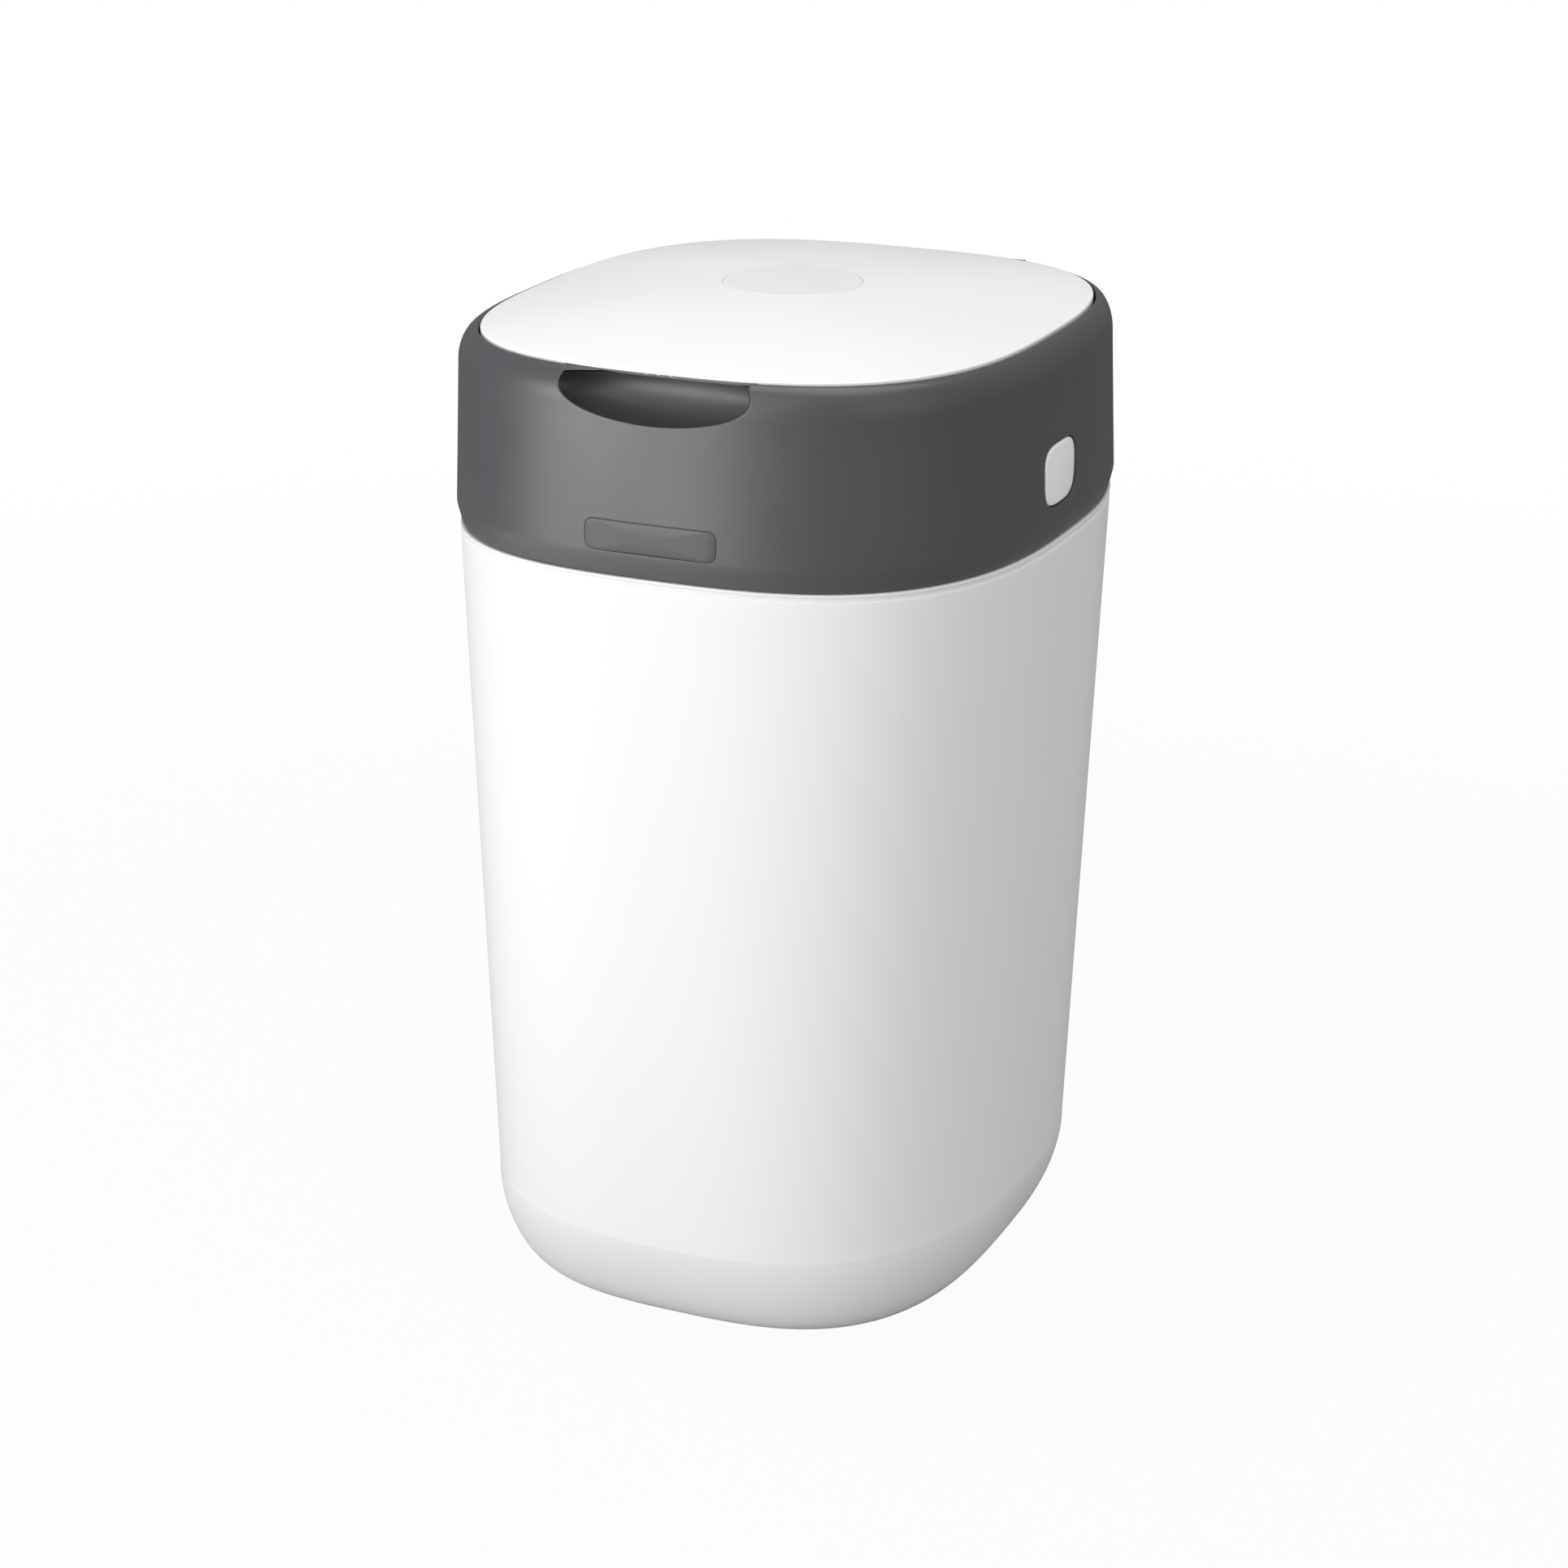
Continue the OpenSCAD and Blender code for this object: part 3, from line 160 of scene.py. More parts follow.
def softened(stations, radii, steps=4):
    """Rounds the corners of a profile: radii maps a station's index to how far the rounding reaches."""
    out = []
    for i, p in enumerate(stations):
        r = radii.get(i)
        if r is None:
            out.append(np.array(p, float))
            continue
        p = np.array(p, float)
        before, after = np.array(stations[i - 1], float) - p, np.array(stations[(i + 1) % len(stations)], float) - p

        def reach(v):
            return min(0.48, r / max(1e-9, math.hypot(v[0], v[4])))
        start, end = p + before * reach(before), p + after * reach(after)
        for k in range(steps + 1):
            t = k / steps
            out.append((1 - t) ** 2 * start + 2 * t * (1 - t) * p + t * t * end)
    return out


def between(low, high, count):
    low, high = np.array(low, float), np.array(high, float)
    return [low + (high - low) * k / (count + 1) for k in range(1, count + 1)]


def new_object(name, verts, faces):
    mesh = bpy.data.meshes.new(name)
    mesh.from_pydata([tuple(v) for v in verts], [], [tuple(f) for f in faces])
    obj = bpy.data.objects.new(name, mesh)
    bpy.context.scene.collection.objects.link(obj)
    return obj


def swept(name, stations, looped=False, count=AROUND):
    """Shell over outlines from the first station to the last, capped at both ends unless it is looped."""
    rings = [outline(s, count) for s in stations]
    verts = np.concatenate(rings)
    levels = len(rings)
    faces = []
    for k in range(levels if looped else levels - 1):
        m = (k + 1) % levels
        for i in range(count):
            j = (i + 1) % count
            faces.append((k * count + i, k * count + j, m * count + j, m * count + i))
    if not looped:
        faces.append(tuple(range(count - 1, -1, -1)))
        faces.append(tuple((levels - 1) * count + i for i in range(count)))
    obj = new_object(name, verts, faces)
    face_out(obj)
    return obj


def face_out(obj):
    bm = bmesh.new()
    bm.from_mesh(obj.data)
    bmesh.ops.recalc_face_normals(bm, faces=bm.faces)
    if bm.calc_volume(signed=True) < 0:
        bmesh.ops.reverse_faces(bm, faces=bm.faces)
    bm.to_mesh(obj.data)
    bm.free()


def lathed(name, profile, centre_y, steps=96):
    """Solid turned about the vertical line at x 0, y centre_y, from (radius, z) points."""
    turn = np.linspace(0, 2 * np.pi, steps, endpoint=False)
    verts = [(r * math.cos(t), centre_y + r * math.sin(t), z) for r, z in profile for t in turn]
    n = len(profile)
    faces = [(k * steps + i, k * steps + (i + 1) % steps, ((k + 1) % n) * steps + (i + 1) % steps,
              ((k + 1) % n) * steps + i) for k in range(n) for i in range(steps)]
    obj = new_object(name, verts, faces)
    face_out(obj)
    return obj


def prism(name, profile, low, high, axis):
    """Solid between low and high along an axis, from a closed outline in the other two axes."""
    order = {"X": lambda u, v, w: (w, u, v), "Y": lambda u, v, w: (u, w, v), "Z": lambda u, v, w: (u, v, w)}[axis]
    n = len(profile)
    verts = [order(u, v, low) for u, v in profile] + [order(u, v, high) for u, v in profile]
    faces = [tuple(range(n)), tuple(range(2 * n - 1, n - 1, -1))]
    faces += [(i, (i + 1) % n, n + (i + 1) % n, n + i) for i in range(n)]
    obj = new_object(name, verts, faces)
    face_out(obj)
    return obj


def circle_points(u, v, r, steps=48):
    return [(u + r * math.cos(2 * math.pi * i / steps), v + r * math.sin(2 * math.pi * i / steps)) for i in range(steps)]


def rounded_box(half_u, half_v, r, steps=10):
    points = []
    for cu, cv, start in ((1, 1, 0), (-1, 1, 90), (-1, -1, 180), (1, -1, 270)):
        for i in range(steps + 1):
            t = math.radians(start + 90 * i / steps)
            points.append((cu * (half_u - r) + r * math.cos(t), cv * (half_v - r) + r * math.sin(t)))
    return points


def squircle(half_u, half_v, power=3.6, steps=96):
    out = []
    for i in range(steps):
        t = 2 * math.pi * i / steps
        c, s = math.cos(t), math.sin(t)
        r = (abs(c) ** power + abs(s) ** power) ** (-1 / power)
        out.append((half_u * r * c, half_v * r * s))
    return out


def baked(obj):
    """Turns an object's live modifiers into its mesh."""
    bpy.context.view_layer.update()
    graph = bpy.context.evaluated_depsgraph_get()
    mesh = bpy.data.meshes.new_from_object(obj.evaluated_get(graph))
    obj.modifiers.clear()
    old = obj.data
    obj.data = mesh
    bpy.data.meshes.remove(old)
    mesh.name = obj.name
    return obj


def cut_with(obj, tool, how="DIFFERENCE"):
    change = obj.modifiers.new("cut", "BOOLEAN")
    change.operation = how
    change.solver = "EXACT"
    change.object = tool
    baked(obj)
    bpy.data.objects.remove(tool)
    return obj


def joined(obj, *others):
    """Adds the meshes of other solids to obj's mesh."""
    bm = bmesh.new()
    for o in (obj,) + others:
        bm.from_mesh(o.data)
    bm.to_mesh(obj.data)
    bm.free()
    for o in others:
        bpy.data.objects.remove(o)
    return obj


def eased(obj, width, steps=2, angle=CREASE):
    bevel = obj.modifiers.new("ease", "BEVEL")
    bevel.width = width
    bevel.segments = steps
    bevel.limit_method = "ANGLE"
    bevel.angle_limit = angle
    bevel.harden_normals = False
    return baked(obj)


def finished(obj, body, material, slot, *replaced):
    for poly in obj.data.polygons:
        poly.use_smooth = True
    obj.data.set_sharp_from_angle(angle=CREASE)
    obj.data.materials.clear()
    obj.data.materials.append(material)
    for poly in obj.data.polygons:
        poly.material_index = 0
    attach(obj, body)
    if replaced:
        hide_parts(*replaced)
    return obj


# Materials

def add(tree, kind, links=None, values=None, **settings):
    """Adds a node with its settings, its fixed input values and its input links."""
    made = tree.nodes.new(kind)
    for key, value in settings.items():
        setattr(made, key, value)
    for key, value in (values or {}).items():
        made.inputs[key].default_value = value
    for key, socket in (links or {}).items():
        tree.links.new(socket, made.inputs[key])
    return made


def new_material(name):
    material = bpy.data.materials.get(name)
    if material:
        return material, None
    material = bpy.data.materials.new(name)
    material.use_nodes = True
    material.node_tree.nodes.clear()
    return material, material.node_tree


def moulded(name, colour, roughness, grain_mm, grain_depth_mm, spread=0.06, tone=0.03, edge_mm=0.5,
            wave_mm=0.0, coat=0.0, specular=0.5):
    """Injection-moulded plastic: a fine mould grain, faint cloudy tone and roughness, and eased edges."""
    material, tree = new_material(name)
    if tree is None:
        return material
    at = add(tree, "ShaderNodeTexCoord").outputs["Object"]
    cloud = add(tree, "ShaderNodeTexNoise", {"Vector": at}, {"Scale": 1 / 0.06, "Detail": 3.0, "Roughness": 0.55})
    grain = add(tree, "ShaderNodeTexNoise", {"Vector": at}, {"Scale": 1 / (grain_mm * MM), "Detail": 2.0, "Roughness": 0.6})
    low = tuple(c * (1 - tone) for c in colour[:3]) + (1.0,)
    high = tuple(min(1.0, c * (1 + tone * 0.5)) for c in colour[:3]) + (1.0,)
    shade = add(tree, "ShaderNodeMix", {"Factor": cloud.outputs["Fac"]}, data_type="RGBA")
    shade.inputs["A"].default_value = low
    shade.inputs["B"].default_value = high
    rough = add(tree, "ShaderNodeMapRange", {"Value": cloud.outputs["Fac"]},
                {"From Min": 0.3, "From Max": 0.7, "To Min": roughness - spread, "To Max": roughness + spread})
    edge = add(tree, "ShaderNodeBevel", values={"Radius": edge_mm * MM}, samples=6)
    height = grain.outputs["Fac"]
    bump = add(tree, "ShaderNodeBump", {"Height": height, "Normal": edge.outputs["Normal"]},
               {"Strength": 1.0, "Distance": grain_depth_mm * MM})
    if wave_mm:
        wave = add(tree, "ShaderNodeTexNoise", {"Vector": at}, {"Scale": 1 / 0.045, "Detail": 1.0})
        bump = add(tree, "ShaderNodeBump", {"Height": wave.outputs["Fac"], "Normal": bump.outputs["Normal"]},
                   {"Strength": 1.0, "Distance": wave_mm * MM})
    shader = add(tree, "ShaderNodeBsdfPrincipled",
                 {"Base Color": shade.outputs["Result"], "Roughness": rough.outputs["Result"],
                  "Normal": bump.outputs["Normal"]},
                 {"IOR": 1.5, "Coat Weight": coat, "Coat Roughness": 0.12, "Specular IOR Level": specular})
    add(tree, "ShaderNodeOutputMaterial", {"Surface": shader.outputs["BSDF"]})
    return material


def tub_polypropylene():
    """Moulded polypropylene: satin gloss wall, and a slightly darker, duller base below the crease."""
    name = "moulded_polypropylene_white"
    material, tree = new_material(name)
    if tree is None:
        return material
    white = tuple(colours().tub_white)
    at = add(tree, "ShaderNodeTexCoord").outputs["Object"]
    parts = add(tree, "ShaderNodeSeparateXYZ", {"Vector": at})
    # 0 above the crease, 1 on the base
    base = add(tree, "ShaderNodeMapRange", {"Value": parts.outputs["Z"]},
               {"From Min": sizes().band_z + 0.1 * MM, "From Max": sizes().band_z - 0.2 * MM, "To Min": 0.0, "To Max": 1.0})
    cloud = add(tree, "ShaderNodeTexNoise", {"Vector": at}, {"Scale": 1 / 0.09, "Detail": 3.0, "Roughness": 0.55})
    grain = add(tree, "ShaderNodeTexNoise", {"Vector": at}, {"Scale": 1 / (0.8 * MM), "Detail": 2.0})
    shade = add(tree, "ShaderNodeMix", {"Factor": cloud.outputs["Fac"]}, data_type="RGBA")
    shade.inputs["A"].default_value = tuple(c * 0.985 for c in white[:3]) + (1.0,)
    shade.inputs["B"].default_value = white
    lower = add(tree, "ShaderNodeMix", {"Factor": base.outputs["Result"], "A": shade.outputs["Result"]}, data_type="RGBA")
    lower.inputs["B"].default_value = tuple(c * 0.93 for c in white[:3]) + (1.0,)
    rough = add(tree, "ShaderNodeMapRange", {"Value": cloud.outputs["Fac"]},
                {"From Min": 0.3, "From Max": 0.7, "To Min": 0.4, "To Max": 0.46})
    duller = add(tree, "ShaderNodeMath", {0: base.outputs["Result"]}, {1: 0.1}, operation="MULTIPLY")
    rough_all = add(tree, "ShaderNodeMath", {0: rough.outputs["Result"], 1: duller.outputs["Value"]}, operation="ADD")
    edge = add(tree, "ShaderNodeBevel", values={"Radius": 0.4 * MM}, samples=6)
    bump = add(tree, "ShaderNodeBump", {"Height": grain.outputs["Fac"], "Normal": edge.outputs["Normal"]},
               {"Strength": 1.0, "Distance": 0.006 * MM})
    shader = add(tree, "ShaderNodeBsdfPrincipled",
                 {"Base Color": lower.outputs["Result"], "Roughness": rough_all.outputs["Value"],
                  "Normal": bump.outputs["Normal"]}, {"IOR": 1.49, "Specular IOR Level": 0.35})
    add(tree, "ShaderNodeOutputMaterial", {"Surface": shader.outputs["BSDF"]})
    return material


def slate_abs():
    # ABS with a spark-eroded grain; the real grain is about 0.2 mm, drawn at 0.7 mm so that it shows
    return moulded("textured_abs_slate", tuple(colours().slate), 0.38, 0.7, 0.03, spread=0.05, tone=0.06, edge_mm=0.7,
                   wave_mm=0.02, specular=0.8)


def lid_abs():
    # Polished ABS: nearly smooth, with the faint waviness of a large flat moulding
    return moulded("gloss_abs_white", tuple(colours().lid_white), 0.3, 1.2, 0.0008, spread=0.02, tone=0.008, edge_mm=0.5,
                   wave_mm=0.004)


def drawn_steel():
    """Drawn steel wire and pins: fine lines along the draw and uneven gloss."""
    material, tree = new_material("drawn_steel")
    if tree is None:
        return material
    at = add(tree, "ShaderNodeTexCoord").outputs["Object"]
    stretch = add(tree, "ShaderNodeMapping", {"Vector": at}, {"Scale": (120.0, 2600.0, 2600.0)})
    lines = add(tree, "ShaderNodeTexNoise", {"Vector": stretch.outputs["Vector"]}, {"Scale": 1.0, "Detail": 2.0})
    rough = add(tree, "ShaderNodeMapRange", {"Value": lines.outputs["Fac"]}, {"To Min": 0.22, "To Max": 0.42})
    tone = add(tree, "ShaderNodeMix", {"Factor": lines.outputs["Fac"]}, data_type="RGBA")
    tone.inputs["A"].default_value = to_linear("#A9ABAE")
    tone.inputs["B"].default_value = to_linear("#C9CBCE")
    bump = add(tree, "ShaderNodeBump", {"Height": lines.outputs["Fac"]}, {"Strength": 0.5, "Distance": 0.01 * MM})
    shader = add(tree, "ShaderNodeBsdfPrincipled",
                 {"Base Color": tone.outputs["Result"], "Roughness": rough.outputs["Result"],
                  "Normal": bump.outputs["Normal"]}, {"Metallic": 1.0})
    add(tree, "ShaderNodeOutputMaterial", {"Surface": shader.outputs["BSDF"]})
    return material


def moulded_rubber():
    # Soft thermoplastic rubber: dull, with a dusty uneven bloom
    return moulded("moulded_rubber_grey", to_linear("#55575A"), 0.72, 0.5, 0.04, spread=0.1, tone=0.12, edge_mm=0.4)


def natural_polypropylene():
    # Uncoloured polypropylene: milky, smooth and slightly waxy
    return moulded("natural_polypropylene", to_linear("#DFE4E8"), 0.3, 1.5, 0.004, spread=0.08, tone=0.05, edge_mm=0.4,
                   wave_mm=0.05)


def film_polyethylene():
    """Thin tinted polyethylene film: glossy, crumpled, with fine creases."""
    material, tree = new_material("polyethylene_film")
    if tree is None:
        return material
    at = add(tree, "ShaderNodeTexCoord").outputs["Object"]
    crease = add(tree, "ShaderNodeTexVoronoi", {"Vector": at}, {"Scale": 1 / (4 * MM)}, feature="DISTANCE_TO_EDGE")
    soft = add(tree, "ShaderNodeTexNoise", {"Vector": at}, {"Scale": 1 / (9 * MM), "Detail": 4.0})
    tone = add(tree, "ShaderNodeMix", {"Factor": soft.outputs["Fac"]}, data_type="RGBA")
    tone.inputs["A"].default_value = to_linear("#A8C3CE")
    tone.inputs["B"].default_value = to_linear("#D6E5EA")
    first = add(tree, "ShaderNodeBump", {"Height": crease.outputs["Distance"]}, {"Strength": 0.4, "Distance": 0.4 * MM})
    second = add(tree, "ShaderNodeBump", {"Height": soft.outputs["Fac"], "Normal": first.outputs["Normal"]},
                 {"Strength": 0.6, "Distance": 0.8 * MM})
    shader = add(tree, "ShaderNodeBsdfPrincipled",
                 {"Base Color": tone.outputs["Result"], "Normal": second.outputs["Normal"]},
                 {"Roughness": 0.22, "IOR": 1.51})
    add(tree, "ShaderNodeOutputMaterial", {"Surface": shader.outputs["BSDF"]})
    return material


def inner_abs():
    return moulded("plain_abs_grey", tuple(colours().inner_grey), 0.5, 0.8, 0.02, tone=0.05)


def pale_abs():
    return moulded("plain_abs_pale", to_linear("#C6C8CB"), 0.42, 0.8, 0.012, tone=0.04)


def white_abs():
    return moulded("plain_abs_white", to_linear("#E9EAEA"), 0.36, 0.9, 0.008, tone=0.03)


def button_abs():
    # The button's satin face, a little brighter than the plain mouldings inside
    return moulded("satin_abs_white", to_linear("#F6F6F6"), 0.34, 0.8, 0.006, tone=0.02, edge_mm=0.6)


def inlay_abs():
    # Printed-and-lacquered disc in the lid: flatter than the gloss round it
    return moulded("satin_inlay", tuple(colours().inlay_grey), 0.38, 0.6, 0.004, spread=0.03, tone=0.015, edge_mm=0.2)


def plate_abs():
    # The plate's own moulding is a touch smoother than the collar round it
    return moulded("satin_abs_slate", tuple(c * 1.06 for c in colours().slate[:3]) + (1.0,), 0.36, 0.9, 0.01, spread=0.03,
                   tone=0.03, edge_mm=0.3)


# Profiles of the three shells

def tub_station(z):
    s = sizes()
    rim = np.array([s.rim_a, s.rim_b, 2.79, s.collar_y, 0])
    band = np.array([s.band_a, s.band_b, 2.54, 0, 0])
    if z >= s.band_z:
        out = band + (rim - band) * (z - s.band_z) / (s.rim_z - s.band_z)
    else:
        t = 1 - z / s.band_z
        power = 1.57
        out = band.copy()
        out[:2] -= s.base_inset * (1 - (1 - t ** power) ** (1 / power))
        out[2] = 2.54 + (2.92 - 2.54) * t
    out[4] = z
    return out


def collar_station(z=0.0):
    s = sizes()
    return np.array([s.collar_a, s.collar_b, 2.79, s.collar_y, z])


def opening_station(z=0.0):
    s = sizes()
    return np.array([s.lid_a + 1.0 * MM, s.lid_b + 1.45 * MM, 2.87, s.lid_y + 0.45 * MM, z])


def collar_profile(off):
    """Outside stations of the collar from its bottom edge over the shoulder to the opening."""
    s = sizes()
    bottom, shoulder, rise = s.collar_z, s.collar_z + 69 * MM, 14 * MM
    low = [grown(collar_station(bottom), off), grown(collar_station(bottom + 9 * MM), s.chamfer_d + off),
           grown(collar_station(bottom + 38 * MM), s.chamfer_d / 2 + off)]
    low = softened(low, {1: 1.6 * MM}, 6)
    stations = [low[0]] + low[1:-1] + between(low[-2], low[-1], 3) + [low[-1]]
    stations += between(low[-1], grown(collar_station(shoulder), off), 4)
    for k in range(19):
        f = math.radians(90 * k / 18)
        w = 1 - math.cos(f)
        mixed = collar_station() * (1 - w) + opening_station() * w
        mixed = grown(mixed, off * math.cos(f))
        mixed[4] = shoulder + rise * math.sin(f) + off * math.sin(f)
        stations.append(mixed)
    return stations


def lid_height(k):
    return sizes().lid_z + sizes().lid_crown * (1 - k * k)


def lid_station(k=1.0, z=None, inside=0.0):
    s = sizes()
    out = np.array([s.lid_a - inside, s.lid_b - inside, 2.87, s.lid_y, lid_height(k) if z is None else z])
    out[:2] *= k
    return out


def front_wall(x, z, off):
    """The y of the collar's front wall, off outside its surface."""
    s = sizes()
    up = (z - s.collar_z) / (9 * MM)
    flare = s.chamfer_d * up if up < 1 else s.chamfer_d * (1 - 0.5 * (z - s.collar_z - 9 * MM) / (29 * MM))
    a, b = s.collar_a + flare + off, s.collar_b + flare + off
    return s.collar_y - b * (1 - abs(x / a) ** 2.79) ** (1 / 2.79)


# Operators

class BinOperator:
    bl_options = {"REGISTER", "UNDO"}


class BIN_OT_tub(BinOperator, bpy.types.Operator):
    """Tub with its rolled base, rim bead, locating lip, keeper ledge and hinge ears"""
    bl_idname = "bin.tub"
    bl_label = "Tub"

    def execute(self, context):
        s = sizes()
        steps = [s.tub_bottom + (s.band_z - s.tub_bottom) * (1 - math.cos(math.pi / 2 * k / 26)) for k in range(27)]
        outside = [tub_station(z) for z in steps]
        outside += [tub_station(s.band_z + w * (s.rim_z - s.band_z)) for w in np.linspace(0.02, 0.97, 16)]
        rim = tub_station(s.rim_z)
        lip = [tub_station(s.rim_z - 3.5 * MM), grown(rim, -0.7 * MM, s.rim_z - 2.8 * MM),
               grown(rim, -0.7 * MM, s.rim_z - 1.4 * MM), grown(rim, 0, s.rim_z - 1.2 * MM), grown(rim, 0, s.rim_z)]
        spigot = collar_station(s.rim_z)
        spigot[:2] -= 3.2 * MM
        ring = [grown(spigot, 0, s.rim_z), grown(spigot, 0, s.rim_z + 5.3 * MM), grown(spigot, -2.4 * MM, s.rim_z + 5.3 * MM),
                grown(spigot, -2.4 * MM, s.rim_z - 3.8 * MM), grown(rim, -2.9 * MM, s.rim_z - 9.8 * MM)]
        edge = softened([outside[-1]] + lip + ring, {1: 0.5 * MM, 2: 0.3 * MM, 3: 0.2 * MM, 4: 0.4 * MM, 5: 0.35 * MM,
                                                     6: 0.2 * MM, 7: 0.5 * MM, 8: 0.5 * MM}, 3)
        inside = [grown(tub_station(s.band_z + w * (s.rim_z - s.band_z)), -s.tub_wall) for w in np.linspace(0.95, 0, 12)]
        floor = s.tub_bottom + 3 * MM
        for z in reversed(steps[:-1]):
            lift = floor + (z - s.tub_bottom) * (s.band_z - floor) / (s.band_z - s.tub_bottom)
            inside.append(grown(tub_station(z), -s.tub_wall, lift))
        tub = swept("tub_body", outside[:-1] + edge + inside)
        keeper = prism("keeper", [(-21.4 * MM, s.rim_z - 4 * MM), (2.6 * MM, s.rim_z - 4 * MM),
                                  (2.6 * MM, s.rim_z - 1.5 * MM), (-21.4 * MM, s.rim_z - 1.5 * MM)], 119.09 * MM, 124.2 * MM, "X")
        eased(keeper, 0.4 * MM)
        ears = []
        for side in (-1, 1):
            low, high = sorted((side * 25 * MM, side * 32 * MM))
            ears.append(unit_ear(low, high))
        joined(tub, keeper, *ears)
        finished(tub, "tub", tub_polypropylene(), "white_shell", "tub_shell")
        return {"FINISHED"}


def unit_ear(low, high):
    s = sizes()
    y, z, r = 152 * MM, 341 * MM, 4.5 * MM
    wall = s.collar_y + s.rim_b - s.tub_wall
    profile = [(y + r * math.cos(t), z + r * math.sin(t)) for t in np.linspace(0, math.pi, 25)]
    profile += [(y - r, z - 5 * MM), (wall, z - 8 * MM), (wall, z - 26 * MM), (y + r, z - 4 * MM)]
    ear = prism("ear", profile, low, high, "X")
    cut_with(ear, prism("bore", circle_points(y, z, 2.02 * MM), low - MM, high + MM, "X"))
    return eased(ear, 0.5 * MM, 2)


class BIN_OT_collar(BinOperator, bpy.types.Operator):
    """Slate collar with its chamfer, rounded shoulder, finger scoop, button hole, plate recess and hinge parts"""
    bl_idname = "bin.collar"
    bl_label = "Collar"

    def execute(self, context):
        s, d = sizes(), details()
        outside = collar_profile(0)
        top = s.collar_z + 83 * MM
        inner = collar_station()
        inner[:2] -= 2.6 * MM
        inside = [grown(opening_station(), 0, top - 4 * MM), grown(inner, -0.2 * MM, s.collar_z + 71.5 * MM),
                  grown(inner, s.chamfer_d - 0.2 * MM, s.collar_z + 9 * MM), grown(inner, 0, s.collar_z + 6.5 * MM),
                  grown(inner, 0, s.collar_z)]
        edge = softened([outside[-2], outside[-1]] + inside[:2], {1: 0.5 * MM}, 5)[1:-1]
        foot = softened([inside[-2], inside[-1], outside[0], outside[1]], {1: 0.4 * MM, 2: 0.5 * MM}, 3)[1:-1]
        collar = swept("collar_body", outside[1:-1] + edge + inside[1:-1] + foot, looped=True)
        # Bowl of the scoop, from a spindle turned about a line across the bin
        bowl = spindle("bowl", 2.2 * MM)
        cut_with(bowl, swept("inside", collar_profile(-0.4 * MM)), "INTERSECT")
        cut_with(bowl, swept("lid_room", [grown(opening_station(), -0.1 * MM, s.lid_z - 6.6 * MM),
                                          grown(opening_station(), -0.1 * MM, s.lid_z + 20 * MM)]))
        cut_with(collar, bowl, "UNION")
        cut_with(collar, spindle("scoop", 0))
        # Notch for the lid's hinge tongue
        notch = prism("notch", [(133.6 * MM, 414.9 * MM), (153.6 * MM, 414.9 * MM), (153.6 * MM, 434.9 * MM),
                                (133.6 * MM, 434.9 * MM)], -46 * MM, 46 * MM, "X")
        cut_with(collar, notch)
        hole = [(d.button_y + u, d.button_z + v) for u, v in
                squircle(d.button_half_width + 0.5 * MM, d.button_half_height + 0.5 * MM, steps=160)]
        cut_with(collar, prism("hole", hole, 119 * MM, 136 * MM, "X"))
        cut_with(collar, plate_block("recess", 0.07 * MM, -0.9 * MM, 6 * MM))
        knuckle = collar_knuckle()
        ears = []
        for side in (-1, 1):
            low, high = sorted((side * 46.1 * MM, side * 53 * MM))
            ears.append(lid_ear(low, high))
        posts = [screw_post(x, y) for x, y in column_places()]
        joined(collar, knuckle, *ears, *posts)
        finished(collar, "upper_unit", slate_abs(), "slate_shell", "collar_shell")
        plate = plate_block("badge_plate_face", 0, -0.9 * MM, 0.2 * MM)
        eased(plate, 0.25 * MM, 3)
        finished(plate, "upper_unit", plate_abs(), "slate_shell", "badge_plate")
        return {"FINISHED"}


def spindle(name, grow):
    """Body of revolution about a line across the bin, with an elliptical profile."""
    d = details()
    half, radius = d.scoop_half + grow, d.scoop_radius + grow
    y0, z0 = -121 * MM, 415 * MM
    levels, steps = 56, 96
    verts = [(-half, y0, z0), (half, y0, z0)]
    for k in range(1, levels):
        f = math.pi * k / levels
        x, r = -half * math.cos(f), radius * math.sin(f)
        verts += [(x, y0 + r * math.cos(t), z0 + r * math.sin(t)) for t in np.linspace(0, 2 * np.pi, steps, endpoint=False)]
    faces = []
    for i in range(steps):
        j = (i + 1) % steps
        faces.append((0, 2 + j, 2 + i))
        last = 2 + (levels - 2) * steps
        faces.append((1, last + i, last + j))
        for k in range(levels - 2):
            a, b = 2 + k * steps, 2 + (k + 1) * steps
            faces.append((a + i, a + j, b + j, b + i))
    obj = new_object(name, verts, faces)
    face_out(obj)
    return obj


def plate_block(name, grow, back, front):
    """Rounded plate that follows the front wall, from back to front of the wall's surface."""
    d = details()
    half_w, half_h, r = d.badge_half_width + grow, d.badge_half_height + grow, 3.6 * MM + grow
    edge = rounded_box(half_w, half_h, r, 8)
    rings = 7
    layers = []
    for off in (back, front):
        layer = []
        for k in range(rings):
            f = 1 - k / rings
            for u, v in edge:
                x, z = u * f, d.badge_z + v * f
                layer.append((x, front_wall(x, z, off), z))
        layer.append((0, front_wall(0, d.badge_z, off), d.badge_z))
        layers.append(layer)
    n, size = len(edge), len(layers[0])
    faces = []
    for base in (0, size):
        for k in range(rings - 1):
            for i in range(n):
                j = (i + 1) % n
                faces.append((base + k * n + i, base + k * n + j, base + (k + 1) * n + j, base + (k + 1) * n + i))
        for i in range(n):
            faces.append((base + (rings - 1) * n + i, base + (rings - 1) * n + (i + 1) % n, base + size - 1))
    faces += [(i, (i + 1) % n, size + (i + 1) % n, size + i) for i in range(n)]
    obj = new_object(name, layers[0] + layers[1], faces)
    face_out(obj)
    return obj


